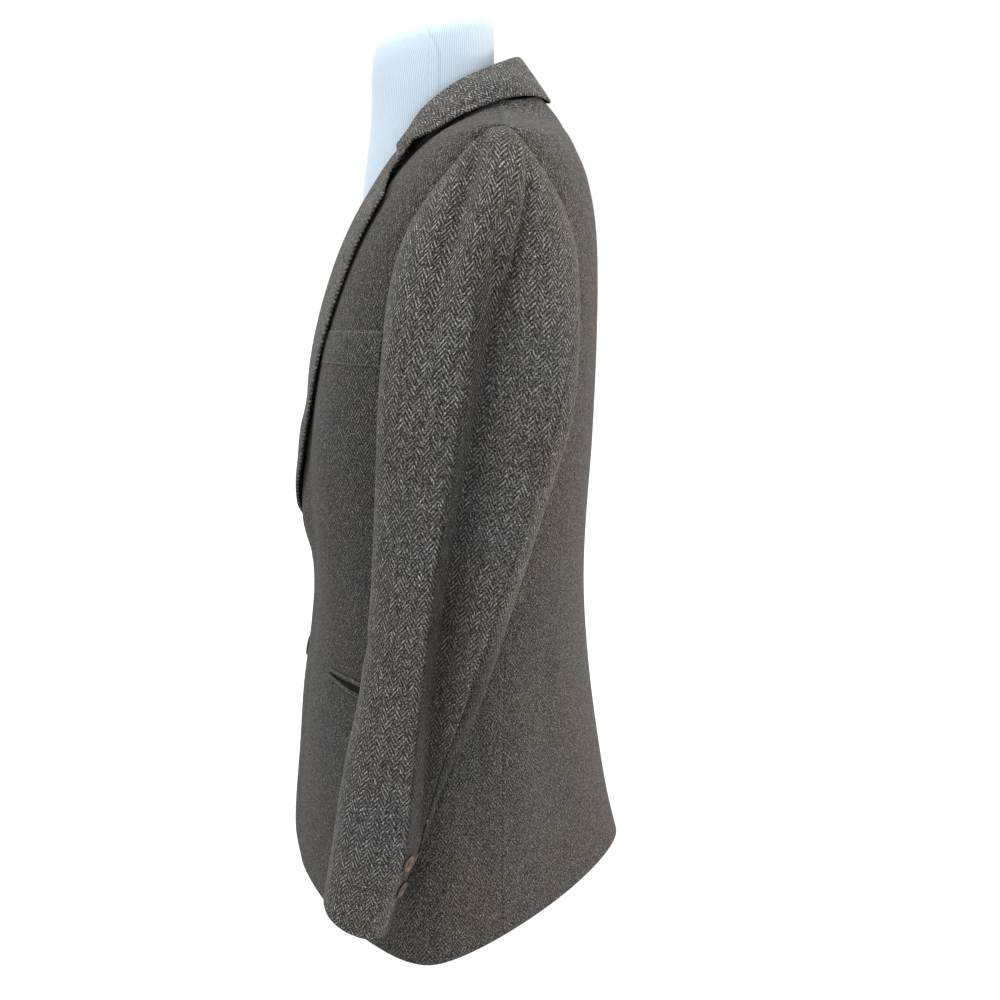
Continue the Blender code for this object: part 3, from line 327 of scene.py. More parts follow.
def addNode(tree, kind, settings=None, inputs=None):  # inputs are values, or (node, output) links
    node = tree.nodes.new(kind)
    for name, value in (settings or {}).items():
        setattr(node, name, value)
    for name, value in (inputs or {}).items():
        socket = node.inputs[name]
        if isinstance(value, tuple) and len(value) == 2 and isinstance(value[0], bpy.types.Node):
            tree.links.new(value[0].outputs[value[1]], socket)
        elif isinstance(value, str) and value.startswith("#"):
            socket.default_value = (*linear(value), 1.0)
        else:
            socket.default_value = value
    return node


def calc(tree, operation, *values):
    return addNode(tree, "ShaderNodeMath", {"operation": operation}, dict(enumerate(values))), 0


def blend(tree, share, low, high, mode="MIX"):
    settings = {"data_type": "RGBA", "blend_type": mode}
    return addNode(tree, "ShaderNodeMix", settings, {0: share, 6: low, 7: high}), 2


def newMaterial(name):
    material = bpy.data.materials.new(name)
    material.use_nodes = True
    return material, material.node_tree, material.node_tree.nodes["Principled BSDF"]


def flatPlace(tree):  # metres along and up the flat cloth
    return addNode(tree, "ShaderNodeUVMap", {"uv_map": "cloth"}), 0


def objectPlace(tree):
    return addNode(tree, "ShaderNodeTexCoord"), "Object"


def pointValue(tree, name):
    return addNode(tree, "ShaderNodeAttribute", {"attribute_name": name}), "Fac"


def scaled(tree, place, scale):
    return addNode(tree, "ShaderNodeMapping", None, {"Vector": place, "Scale": scale}), 0


def noise(tree, place, scale, detail, **more):
    inputs = {"Vector": place, "Scale": scale, "Detail": detail, **more}
    return addNode(tree, "ShaderNodeTexNoise", None, inputs), 0


def ranged(tree, value, low, high, least=0.0, most=1.0, kind="SMOOTHSTEP"):
    inputs = {"Value": value, "From Min": low, "From Max": high, "To Min": least, "To Max": most}
    return addNode(tree, "ShaderNodeMapRange", {"interpolation_type": kind}, inputs), 0


def colourRamp(tree, share, stops):
    node = addNode(tree, "ShaderNodeValToRGB", None, {0: share})
    elements = node.color_ramp.elements
    elements[0].position, elements[1].position = stops[0][0], stops[-1][0]
    for position, _ in stops[1:-1]:
        elements.new(position)
    for element, (_, colour) in zip(elements, stops):
        element.color = (*linear(colour), 1.0)
    return node, 0


def finishShader(tree, shader, colour, values, bump=None):  # bump is height, strength and distance
    tree.links.new(colour[0].outputs[colour[1]], shader.inputs["Base Color"])
    for name, value in values.items():
        shader.inputs[name].default_value = value
    if bump:
        height, strength, distance = bump
        inputs = {"Height": height, "Strength": strength, "Distance": distance}
        raised = addNode(tree, "ShaderNodeBump", None, inputs)
        tree.links.new(raised.outputs[0], shader.inputs["Normal"])


tweed = {
    "column": 0.0060,      # one stripe of the herringbone, so a whole zigzag is 12 mm
    "line": 0.0046,        # from one twill line to the next, up the cloth
    "slope": 1.42,         # rise of the twill line for each step across
    "floats": 3.8,         # dashes of yarn in a twill line, across one stripe
    "slide": 0.37,         # shift of the dashes from one line to the next
    "wander": ((24.0, 0.0030), (330.0, 0.0009)),    # scale and reach of the yarns' drift and jitter
    "weave": 0.74, "bare": 0.22, "fuzz": 0.56, "base": 0.17,    # parts of the cloth's level, dark to pale
    # paintedShade is the near black that painted shade darkens the cloth towards
    "ground": "#131212", "yarn": "#302F2E", "pale": "#696866", "fleck": "#ABABA9", "paintedShade": "#0B0A09",
}


# Woollen herringbone tweed, milled: a dark ground, pale broken twill lines, a soft nap
# that scatters light at grazing angles, and no gloss.
def herringboneTweed(name, shade=1.0, clear=1.0):
    material, tree, shader = newMaterial(name)
    place = objectPlace(tree)
    moved = flatPlace(tree)
    # the yarns wander a little, so the stripes aren't ruled lines
    for scale, reach in tweed["wander"]:
        shift = noise(tree, place, scale, 1.0)[0], "Color"
        moved = addNode(tree, "ShaderNodeVectorMath", {"operation": "MULTIPLY_ADD"},
                        {0: shift, 1: (reach, reach, 0.0), 2: moved}), 0
    parts = addNode(tree, "ShaderNodeSeparateXYZ", None, {0: moved})
    stripes = calc(tree, "DIVIDE", (parts, 0), tweed["column"])
    zigzag = calc(tree, "PINGPONG", stripes, 1.0)
    half = calc(tree, "FLOORED_MODULO", calc(tree, "FLOOR", stripes), 2.0)
    climb = calc(tree, "MULTIPLY", zigzag, tweed["column"] * tweed["slope"])
    lines = calc(tree, "DIVIDE", calc(tree, "ADD", (parts, 1), climb), tweed["line"])
    shifted = calc(tree, "MULTIPLY_ADD", half, 0.5, lines)
    wave = calc(tree, "SINE", calc(tree, "MULTIPLY", shifted, math.tau))
    line = calc(tree, "POWER", calc(tree, "MULTIPLY_ADD", wave, 0.5, 0.5), 1.6)
    # each twill line is a row of short dashes, and every dash of yarn has its own shade
    number = calc(tree, "FLOOR", calc(tree, "ADD", shifted, 0.25))
    slide = calc(tree, "MULTIPLY", number, tweed["slide"])
    dash = calc(tree, "ADD", calc(tree, "MULTIPLY", stripes, tweed["floats"]), slide)
    cell = addNode(tree, "ShaderNodeCombineXYZ", None, {0: calc(tree, "FLOOR", dash), 1: number})
    chance = addNode(tree, "ShaderNodeTexWhiteNoise", {"noise_dimensions": "2D"}, {"Vector": (cell, 0)}), 0
    ends = calc(tree, "PINGPONG", calc(tree, "MULTIPLY", dash, 2.0), 1.0)
    body = ranged(tree, ends, 0.0, 0.35, 0.66)
    lit = calc(tree, "MULTIPLY_ADD", chance, 0.62, 0.34)
    thread = calc(tree, "MULTIPLY", line, calc(tree, "MULTIPLY", body, lit))
    # the nap hides the weave in slow patches, and loose fibres grain it all
    patch = ranged(tree, noise(tree, place, 14.0, 3.0, Roughness=0.6), 0.30, 0.56, 0.82)
    seen = calc(tree, "MULTIPLY_ADD", pointValue(tree, "clear"), 0.9 * clear, 0.1)
    patch = calc(tree, "MULTIPLY", patch, seen)
    fibres = noise(tree, place, 760.0, 2.0, Roughness=0.65)
    fuzz = ranged(tree, fibres, 0.37, 0.63, -0.5, 0.5, "LINEAR")
    weave = calc(tree, "MULTIPLY", thread, calc(tree, "MULTIPLY", patch, tweed["weave"]))
    bare = calc(tree, "MULTIPLY", calc(tree, "SUBTRACT", 1.0, patch), tweed["bare"])
    grain = calc(tree, "MULTIPLY_ADD", fuzz, tweed["fuzz"], tweed["base"])
    level = calc(tree, "ADD", calc(tree, "ADD", weave, bare), grain)
    yarns = colourRamp(tree, level, ((0.0, tweed["ground"]), (0.30, tweed["yarn"]),
                                     (0.66, tweed["pale"]), (1.0, tweed["fleck"])))
    # russet and blue-grey fibres in the blend, in slow patches and in single specks
    warmth = ranged(tree, noise(tree, place, 8.0, 6.0, Roughness=0.75), 0.36, 0.68)
    coloured = blend(tree, 1.0, yarns, blend(tree, warmth, "#F6F9FC", "#FFF7EF"), "MULTIPLY")
    # painted shade: the depth value darkens the cloth towards near black, for the shadow in the sleeve's fold, under
    # the lapel, in seams and stitched grooves, and an even darkening of whole panels
    shaded = blend(tree, pointValue(tree, "depth"), coloured, tweed["paintedShade"])
    # shade scales the whole cloth's brightness; above 1 it is painted light
    toned = addNode(tree, "ShaderNodeHueSaturation", None, {"Color": shaded, "Value": shade}), 0
    finishShader(tree, shader, toned, {
        "Roughness": 0.92, "Specular IOR Level": 0.15, "Sheen Weight": 0.08, "Sheen Roughness": 0.5,
        "Sheen Tint": (*linear("#BDBDBB"), 1.0)}, (level, 0.45, 0.0004))
    return material


# Melton: a felted wool, even and matt.
def feltedMelton(name, dark, light):
    material, tree, shader = newMaterial(name)
    felt = noise(tree, objectPlace(tree), 1300.0, 4.0)
    finishShader(tree, shader, blend(tree, felt, dark, light),
                 {"Roughness": 0.95, "Specular IOR Level": 0.15}, (felt, 0.4, 0.0003))
    return material


# Viscose satin lining: smooth, dark brown, with a soft silky gloss along the body.
def liningSatin():
    material, tree, shader = newMaterial("liningSatin")
    threads = noise(tree, scaled(tree, flatPlace(tree), (900.0, 60.0, 1.0)), 1.0, 3.0)
    finishShader(tree, shader, blend(tree, threads, "#2B221C", "#43362C"),
                 {"Roughness": 0.38, "Sheen Weight": 0.2}, (threads, 0.15, 0.0002))
    return material


# Buffalo horn, turned and polished: dark brown streaked with paler grain.
def polishedHorn():
    material, tree, shader = newMaterial("polishedHorn")
    streaks = noise(tree, scaled(tree, objectPlace(tree), (260.0, 260.0, 60.0)), 1.0, 4.0, Distortion=1.2)
    finishShader(tree, shader, colourRamp(tree, streaks, ((0.32, "#1B130D"), (0.72, "#5E4835"))), {
        "Roughness": 0.42, "Specular IOR Level": 0.4, "Coat Weight": 0.1, "Coat Roughness": 0.25})
    return material


# Twisted polyester thread, slightly glossy.
def sewingThread(name, dark, light):
    material, tree, shader = newMaterial(name)
    ply = noise(tree, objectPlace(tree), 1500.0, 2.0)
    finishShader(tree, shader, blend(tree, ply, dark, light), {"Roughness": 0.6})
    return material


# Fine-ribbed cotton jersey over the form, white with a faint blue cast.
def ribbedJersey():
    material, tree, shader = newMaterial("ribbedJersey")
    parts = addNode(tree, "ShaderNodeSeparateXYZ", None, {0: flatPlace(tree)})
    # ribs 2 mm apart; the real ones are nearer 1 mm and would not show
    rib, knit = (calc(tree, "SINE", calc(tree, "MULTIPLY", (parts, axis), math.tau / size))
                 for axis, size in ((0, 0.0020), (1, 0.0016)))
    rib = calc(tree, "MULTIPLY_ADD", rib, 0.5, 0.5)
    fuzz = calc(tree, "MULTIPLY", noise(tree, objectPlace(tree), 700.0, 3.0), 0.4)
    height = calc(tree, "ADD", rib, calc(tree, "MULTIPLY_ADD", knit, 0.12, fuzz))
    # painted shade: the cover is paler on the ribs' crests and darker in their valleys, besides their bump
    colour = blend(tree, calc(tree, "MULTIPLY_ADD", rib, 0.6, fuzz), "#9BAAB8", "#C6D6E2")
    # painted shade: the depth value darkens the cover towards near black, behind the collar, near the neckline under
    # the fronts and along the neck's seams
    finishShader(tree, shader, blend(tree, pointValue(tree, "depth"), colour, "#1D2024"),
                 {"Roughness": 0.88, "Sheen Weight": 0.15}, (height, 0.35, 0.0003))
    return material


finishes = {
    "tweed": herringboneTweed("herringboneTweed"),
    # painted light: the collar and lapels are the same tweed made 7% brighter, standing in for the light that falls
    # on them
    "brightenedCollarTweed": herringboneTweed("brightenedCollarTweed", shade=1.07, clear=0.75),
    "melton": feltedMelton("undercollarMelton", "#1C1B15", "#322F26"),
    # pocketing: real pocket cloth, its near-black colour also painted shade for the shadow inside the pocket mouth
    "pocketing": feltedMelton("pocketMelton", "#10100E", "#1C1C19"),
    "lining": liningSatin(),
    "horn": polishedHorn(),
    "darkThread": sewingThread("darkThread", "#1F1C1A", "#3A3531"),
    "paleThread": sewingThread("paleThread", "#6F695F", "#A09888"),
    "jersey": ribbedJersey(),
}
print("materials made")

# Meshes
cutPieces, trims = [], {}
rimShape = {"narrowed": 0.22, "reach": 0.30}    # shares of the wall


def addObject(name, data):
    piece = bpy.data.objects.new(name, data)
    scene.collection.objects.link(piece)
    return piece


def carry(piece, slot, *nodes):
    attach(piece, "root")
    if nodes:
        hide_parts(*nodes)


def meshPiece(name, points, faces, materials, uv, depth, clear=1.0, faceMaterials=None):
    mesh = bpy.data.meshes.new(name)
    mesh.from_pydata([tuple(point) for point in points], [], faces)
    for material in materials:
        mesh.materials.append(material)
    layer = mesh.uv_layers.new(name="cloth")
    corners = np.empty(len(mesh.loops), dtype=np.int32)
    mesh.loops.foreach_get("vertex_index", corners)
    layer.data.foreach_set("uv", np.asarray(uv, dtype=np.float32)[corners].ravel())
    # depth holds painted shade, which darkens the finish; clear holds how much the weave shows
    for kind, values in (("depth", depth), ("clear", clear)):
        filled = np.zeros(len(points), np.float32)
        filled[:] = np.ravel(values)
        mesh.attributes.new(kind, "FLOAT", "POINT").data.foreach_set("value", filled)
    if faceMaterials is not None:
        mesh.polygons.foreach_set("material_index", np.asarray(faceMaterials, dtype=np.int32))
    mesh.polygons.foreach_set("use_smooth", [True] * len(mesh.polygons))
    mesh.update()
    return addObject(name, mesh)


def gridFaces(rows, columns, start=0):
    index = start + np.arange(rows * columns).reshape(rows, columns)
    return np.stack([index[:-1, :-1], index[:-1, 1:], index[1:, 1:], index[1:, :-1]], axis=-1).reshape(-1, 4)


# A closed wall from a grid of outer points: its rim is round and its inner side can be lined; depth is its painted
# shade.
def clothPiece(name, outer, outward, uv, wall, depth, materials, lined=None, clear=1.0):
    rows, columns = outer.shape[:2]
    normals = gridNormals(outer, outward)
    inner = outer - normals * wall
    middle = (outer + inner) / 2.0
    edge, away = np.zeros((rows, columns, 1)), np.zeros_like(outer)
    for here, beside in ((np.s_[0], np.s_[1]), (np.s_[-1], np.s_[-2]), (np.s_[:, 0], np.s_[:, 1]),
                         (np.s_[:, -1], np.s_[:, -2])):
        edge[here] = 1.0
        away[here] += unit(outer[here] - outer[beside])
    outer = outer - normals * wall * rimShape["narrowed"] * edge
    inner = inner + normals * wall * rimShape["narrowed"] * edge
    rim = (middle + unit(away) * wall * rimShape["reach"]).reshape(-1, 3)
    index = np.arange(rows * columns).reshape(rows, columns)
    loop = np.concatenate([index[0], index[1:, -1], index[-1, -2::-1], index[-2:0:-1, 0]])
    count = rows * columns
    rimIndex = 2 * count + np.arange(len(loop))
    nextLoop, nextRim = np.roll(loop, -1), np.roll(rimIndex, -1)
    outerFaces, innerFaces = gridFaces(rows, columns), gridFaces(rows, columns, count)[:, ::-1]
    upperRim = np.stack([nextLoop, loop, rimIndex, nextRim], axis=-1)
    lowerRim = np.stack([nextRim, rimIndex, loop + count, nextLoop + count], axis=-1)
    faces = np.concatenate([outerFaces, innerFaces, upperRim, lowerRim])
    first = outerFaces[len(outerFaces) // 2]
    flat = outer.reshape(-1, 3)
    facing = np.cross(flat[first[1]] - flat[first[0]], flat[first[3]] - flat[first[0]])
    if facing @ normals.reshape(-1, 3)[first[0]] < 0.0:
        faces = faces[:, ::-1]

    def everywhere(values, *width):  # on the outer side, the inner side and the rim
        values = np.broadcast_to(values, (rows, columns, *width)).reshape(count, *width)
        return np.concatenate([values, values, values[loop]])

    which = np.zeros(len(faces), dtype=np.int32)
    if lined is not None:
        quads = np.stack([lined[:-1, :-1], lined[:-1, 1:], lined[1:, 1:], lined[1:, :-1]]).min(0).ravel()
        which[len(outerFaces):2 * len(outerFaces)] = quads
    points = np.concatenate([flat, inner.reshape(-1, 3), rim[loop]])
    return meshPiece(name, points, faces.tolist(), materials, everywhere(uv, 2), everywhere(depth),
                     everywhere(clear), which)


def declareCloth(piece, uv, node, held, restsOn, slot="tweed"):
    a, b, c, d = uv[:-1, :-1], uv[:-1, 1:], uv[1:, 1:], uv[1:, :-1]
    first, second = c - a, d - b
    area = float(np.abs(first[..., 0] * second[..., 1] - first[..., 1] * second[..., 0]).sum() / 2.0)
    width, length = (float(size) for size in uv.reshape(-1, 2).max(0) - uv.reshape(-1, 2).min(0))
    carry(piece, slot, node)
    cutPieces.append((piece, width, length, held, restsOn, min(area, width * length)))


def endShares(width, step, near=(0.0007, 0.0016, 0.0028, 0.0044)):  # closer together at both ends
    near = np.array(near) / width
    inner = np.linspace(near[-1], 1.0 - near[-1], max(4, round(width * (1.0 - 2.0 * near[-1]) / step) + 1))
    return np.concatenate([[0.0], near[:-1], inner, 1.0 - near[:-1][::-1], [1.0]])


# painted shade: seamDips gives the groove and the shade painted along it
def seamDips(outer, edges):  # depth of the groove along the joined edges, and its darkness
    rowArc = arcLengths(outer, 1)
    dip, dark = np.zeros(outer.shape[:2]), np.zeros(outer.shape[:2])
    for edge, weight in edges.items():
        distance = rowArc if edge == "first" else rowArc[:, -1:] - rowArc
        weight = np.asarray(weight, float)[..., None]
        dip = np.maximum(dip, bell(distance, cloth["seamWidth"]) * weight)
        dark = np.maximum(dark, bell(distance, cloth["seamLine"]) * weight)
    return dip * cloth["seamDip"], dark * cloth["seamDark"]


def closeSeam(grid, column, weight):  # leaves a hair's width at a seam
    toward = unit(grid[:, 1 if column == 0 else -2] - grid[:, column])
    grid[:, column] += toward * (cloth["seamGap"] / 2.0) * np.asarray(weight, float)[..., None]


print("tools made")

# Creases on the visible side, each with its path in (depth, height)
bodyCreases = [
    {"path": [(0.020, 0.47), (0.026, 0.40), (0.030, 0.33), (0.028, 0.27)], "depth": 0.0022, "width": 0.012},
    {"path": [(0.070, 0.30), (0.086, 0.22), (0.104, 0.12), (0.118, 0.03)], "depth": 0.0024, "width": 0.018},
    {"path": [(0.020, 0.26), (0.024, 0.18), (0.034, 0.09), (0.038, 0.02)], "depth": 0.0020, "width": 0.017},
    {"path": [(-0.060, 0.34), (-0.020, 0.315), (0.020, 0.300)], "depth": 0.0014, "width": 0.010},
    {"path": [(0.060, 0.335), (0.095, 0.325), (0.125, 0.330)], "depth": 0.0016, "width": 0.011},
    {"path": [(0.050, 0.62), (0.085, 0.60), (0.115, 0.56)], "depth": 0.0010, "width": 0.016},
]
sleeveCreases = [
    {"path": [(0.010, 0.420), (0.034, 0.392), (0.066, 0.384)], "depth": 0.0018, "width": 0.009},
    {"path": [(-0.004, 0.350), (0.020, 0.318), (0.046, 0.302)], "depth": 0.0018, "width": 0.009},
    {"path": [(-0.012, 0.270), (0.006, 0.246), (0.026, 0.236)], "depth": 0.0014, "width": 0.008},
    {"path": [(-0.070, 0.330), (-0.050, 0.306), (-0.030, 0.296)], "depth": 0.0012, "width": 0.009},
    {"path": [(-0.085, 0.210), (-0.060, 0.190), (-0.036, 0.184)], "depth": 0.0010, "width": 0.009},
]


def creaseDepth(points, creases):
    total = np.zeros(points.shape[:-1])
    for crease in creases:
        distance, along = pathDistance(points, crease["path"])
        fade = smoothStep(along, 0.0, 0.3) * (1.0 - smoothStep(along, 0.7, 1.0))
        shape = bell(distance, crease["width"])
        # the cloth that a crease pushes aside stands up beside it
        shape -= 0.45 * bell(distance - 1.9 * crease["width"], crease["width"])
        total += crease["depth"] * shape * fade
    return total


# Body panels
panelStep = {"across": 0.0042, "along": 0.0040}
panelWidth, panelSeamLength, sideSeamLength = 0.20, 0.55, 0.50
vent = {"top": 0.226, "taper": 0.030, "underlap": 11.0, "sink": 0.0040, "from": 78.0, "full": 86.5}


def seamShares(length):  # up a seam, closer together at the hem
    above = np.linspace(0.006 / length, 1.0, round(length / panelStep["along"]))
    return np.concatenate([np.array([0.0, 0.0012, 0.003]) / length, above])


def panelEdge(seamTurn, seamAngle):  # places and angles up the seam, the armhole and the shoulder
    lowerShares = seamShares(panelSeamLength)
    lowerPlaces = lowerShares * float(armholePlace(seamTurn))
    lowerAngles = seamAngle(rowAt(bodyRows, lowerPlaces)[:, 0])
    lowerAngles = mix(lowerAngles, armholeAngle(seamTurn), smoothStep(lowerShares, 0.96, 1.0))
    topTurn = 0.0 if seamTurn < 180.0 else 360.0
    turns = np.linspace(seamTurn, topTurn, 52)[1:]
    shoulders = np.linspace(shoulderPlace, neckPointPlace, 40)[1:]
    places = np.concatenate([lowerPlaces, armholePlace(turns), shoulders])
    angles = np.concatenate([lowerAngles, armholeAngle(turns), np.full(len(shoulders), armhole["angle"])])
    below, above = len(lowerPlaces), len(lowerPlaces) + len(turns)
    onArmhole, onShoulder = np.zeros(len(places)), np.zeros(len(places))
    onArmhole[below:above] = 1.0
    onShoulder[above:] = np.linspace(0.0, 1.0, len(shoulders))
    return places, angles, onArmhole, onShoulder


def warpField(points, back):  # upright, and over the shoulder towards its seam
    lean = smoothStep(points[..., 2], 0.655, 0.745) * 1.4 * (-1.0 if back else 1.0)
    field = np.zeros_like(points)
    field[..., 1] = lean
    field[..., 2] = 1.0
    return field


def frontPanel(lifted):
    places, angles, onArmhole, _ = panelEdge(
        frontSeamTurn, lambda height: np.full_like(height, frontSeamAngle))
    heights = rowAt(bodyRows, places)[:, 0]
    start = angleAcross(frontEdgeAcross(heights), places)
    angle = mix(start[:, None], angles[:, None], endShares(panelWidth, panelStep["across"])[None])
    place = np.broadcast_to(places[:, None], angle.shape)
    surface = bodySurface(angle, place)
    outward = bodyNormal(angle, place)
    out = frontLift(surface[..., 0], surface[..., 2]) if lifted else np.zeros(angle.shape)
    return surface + outward * out[..., None], outward, onArmhole


def backPanel(withVent):
    places, angles, onArmhole, onShoulder = panelEdge(backSeamTurn, backSeamAngle)
    heights = rowAt(bodyRows, places)[:, 0]
    centre = np.full(len(places), 90.0)
    if withVent:
        centre += vent["underlap"] * smoothStep(vent["top"] - heights, 0.0, vent["taper"])
    shares = endShares(panelWidth, panelStep["across"])
    angle = mix(centre[:, None], angles[:, None], shares[None])
    rise = (backNeckPlace - neckPointPlace) * (1.0 - shares[None]) ** 2    # the neckline climbs towards the centre
    place = places[:, None] + rise * smoothStep(onShoulder, 0.0, 1.0)[:, None]
    surface = bodySurface(angle, place)
    outward = bodyNormal(angle, place)
    if withVent:
        inside = 1.0 - smoothStep(surface[..., 2] - vent["top"], 0.003, vent["taper"])
        sunk = -vent["sink"] * inside * smoothStep(angle, vent["from"], vent["full"])
        return surface + outward * sunk[..., None], outward, onArmhole, (centre == 90.0).astype(float)
    return surface, outward, onArmhole, (heights > vent["top"]).astype(float)


def finishPanel(points, outward, edges, seed, creases, swell=0.0009):
    # dark is the painted shade along the seams
    dip, dark = seamDips(points, edges)
    rowArc = arcLengths(points, 1)
    inside = smoothStep(np.minimum(rowArc, rowArc[:, -1:] - rowArc), 0.0, 0.02)
    uneven = waves(points, seed, (0.09, 0.09, 0.20)) * swell * inside
    pressed = creaseDepth(points, creases) * inside
    return points + outward * (uneven - dip - pressed)[..., None], dark


def facingMask(points, firstWidth, hemWidth):  # 1 where the inner side is lining
    return ((arcLengths(points, 1) > firstWidth) & (arcLengths(points, 0) > hemWidth)).astype(np.int32)


def tailor(name, node, flip, grid, outward, uv, dark, lined, clear, held, restsOn):
    piece = clothPiece(name, grid * flip, outward * flip, uv, cloth["wall"], dark,
                       [finishes["tweed"], finishes["lining"]], lined, clear)
    declareCloth(piece, uv, node, held, restsOn)


lapelEdge = np.array([(-0.0125, 0.361), (0.0115, 0.380), (0.0295, 0.409), (0.0495, 0.449), (0.0650, 0.492),
                      (0.0840, 0.548), (0.1000, 0.602), (0.1115, 0.645), (0.1175, 0.672), (0.1000, 0.720)])
facingWidth = {"front": 0.060, "back": 0.030, "hem": 0.032, "cuff": 0.030}
# shade: least painted shade of each part, an even darkening standing in for how the light falls on it; underLapel is
# the painted shadow under the lapel
shade = {"front": 0.30, "back": 0.16, "side": 0.20, "pocket": 0.20, "underLapel": 0.85}    # least darkness
strips, charts = {}, {}   # finished grids that the stitches and the pockets' weave follow

for side, flip in sides:
    isLeft = side == "left"
    points, outward, onArmhole = frontPanel(isLeft)
    closeSeam(points, -1, 1.0 - onArmhole)
    height = points[:, -1, 2]
    seam = 0.3 * (1.0 - onArmhole * smoothStep(height, 0.55, 0.66))
    shaped, dark = finishPanel(points, outward, {"last": seam}, 3 + isLeft, bodyCreases)
    across, height = shaped[..., 0], shaped[..., 2]
    uv = flatChart(shaped, gridNormals(shaped, outward), warpField(shaped, False))
    lined = facingMask(shaped, facingWidth["front"], facingWidth["hem"])
    clear = 0.46 + 0.30 * smoothStep(across, 0.070, 0.115) * smoothStep(height, 0.32, 0.50)
    # painted shadow: the front is darkened where the lapel's shadow falls
    under = np.interp(height, lapelEdge[:, 1], lapelEdge[:, 0]) - across
    reach = mix(0.0160, 0.0065, smoothStep(height, 0.44, 0.52))
    under = smoothStep(under + reach, 0.0, 0.006) * smoothStep(height, 0.362, 0.380)
    under = shade["underLapel"] * under * (1.0 - smoothStep(height, 0.66, 0.70))
    # painted shade: the seam's groove, an even darkening of the whole front, and the painted shadow under the lapel
    dark = np.maximum(np.maximum(dark, shade["front"]), under)
    strips["front_" + side] = (shaped * flip, gridNormals(shaped * flip, outward * flip))
    charts["frontPanel." + side] = (shaped * flip, uv)
    tailor("frontPanel." + side, "front_" + side, flip, shaped, outward, uv, dark, lined, clear,
           "draped", ["dress_form"])

    points, outward, onArmhole, joined = backPanel(not isLeft)
    closeSeam(points, 0, joined)
    closeSeam(points, -1, 1.0 - onArmhole)
    shaped, dark = finishPanel(points, outward, {"first": joined * 0.6, "last": 0.3}, 7, bodyCreases)
    uv = flatChart(shaped, gridNormals(shaped, outward), warpField(shaped, True))
    lined = facingMask(shaped, facingWidth["back"], facingWidth["hem"])
    clear = 0.35 + 0.45 * smoothStep(shaped[..., 2], 0.55, 0.70)
    # painted shade: the seams' grooves and an even darkening of the whole back
    tailor("backPanel." + side, "back_" + side, flip, shaped, outward, uv, np.maximum(dark, shade["back"]),
           lined, clear, "draped", ["dress_form"])
print("fronts and backs made")


def sidePanel():
    shares = seamShares(sideSeamLength)
    across = endShares(0.14, panelStep["across"])
    turns = mix(backSeamTurn, frontSeamTurn, across)
    place = shares[:, None] * armholePlace(turns)[None]
    backPlace = shares * float(armholePlace(backSeamTurn))
    backAngle = backSeamAngle(rowAt(bodyRows, backPlace)[:, 0])
    backAngle = mix(backAngle, armholeAngle(backSeamTurn), smoothStep(shares, 0.96, 1.0))
    top = (armholeAngle(turns) - frontSeamAngle) / (armholeAngle(backSeamTurn) - frontSeamAngle)
    angle = mix(frontSeamAngle, backAngle[:, None], top[None])
    return bodySurface(angle, place), bodyNormal(angle, place)


points, outward = sidePanel()
closeSeam(points, 0, 1.0)
closeSeam(points, -1, 1.0)
shaped, dark = finishPanel(points, outward, {"first": 0.3, "last": 0.3}, 11, bodyCreases)
uv = flatChart(shaped, gridNormals(shaped, outward), np.broadcast_to([0.0, 0.0, 1.0], shaped.shape))
for side, flip in sides:
    # painted shade: the seams' grooves and an even darkening of the whole side
    tailor("sidePanel." + side, "side_" + side, flip, shaped, outward, uv, np.maximum(dark, shade["side"]),
           facingMask(shaped, -1.0, facingWidth["hem"]), 0.38, "draped", ["dress_form"])
print("side panels made")

# Sleeves: height of the back edge, rise of the front edge, front, back, inner, outer
sleeveRows = np.array([
    (0.064, 0.026, -0.1005, -0.0440, 0.2080, 0.2900),
    (0.098, 0.019, -0.0955, -0.0340, 0.2075, 0.2905),
    (0.150, 0.010, -0.0880, -0.0100, 0.2070, 0.2910),
    (0.210, 0.004, -0.0790, 0.0125, 0.2065, 0.2900),
    (0.280, 0.000, -0.0650, 0.0400, 0.2010, 0.2870),
    (0.350, 0.000, -0.0565, 0.0625, 0.1965, 0.2840),
    (0.420, 0.000, -0.0520, 0.0840, 0.1955, 0.2810),
    (0.490, 0.000, -0.0485, 0.1045, 0.1960, 0.2790),
])
foldRows = np.array([
    (0.068, -0.046, 0.000), (0.120, -0.0325, 0.009), (0.190, -0.0235, 0.019), (0.280, -0.0145, 0.020),
    (0.340, -0.0065, 0.021), (0.400, 0.002, 0.021), (0.480, 0.016, 0.019), (0.535, 0.026, 0.017),
    (0.600, 0.034, 0.013), (0.640, 0.037, 0.009), (0.680, 0.050, 0.003), (0.730, 0.055, 0.000),
])
sleeveTop = len(sleeveRows) - 1.0
ringCount = 22      # marks round the armhole; the panels' seams are at marks 8 and 14
foldTrough = {"behind": 0.011, "width": 0.034}
sleeveHead = {"inset": 0.0006, "sink": 0.0008, "lean": 68.0}    # lean in degrees, at the top


def ringTurn(mark):
    return np.interp(mark, [0, 8, 14, ringCount], [0.0, backSeamTurn, frontSeamTurn, 360.0])


ringTurns = ringTurn(np.arange(ringCount))
armholeCentre = bodySurface(armholeAngle(ringTurns), armholePlace(ringTurns)).mean(0)


def sleeveSection(turn, place):
    turn, place = np.broadcast_arrays(turn, place)
    row = rowAt(sleeveRows, place)
    height, rise, front, back, inner, outer = (row[..., index] for index in range(6))
    cosine, sine = cosSin(turn)
    factor = ringFactor(cosine, sine, 2.3)
    across = (inner + outer + (outer - inner) * cosine * factor) / 2.0
    depth = (front + back + (back - front) * sine * factor) / 2.0
    return np.stack([across, depth, height + rise * (back - depth) / (back - front)], axis=-1)


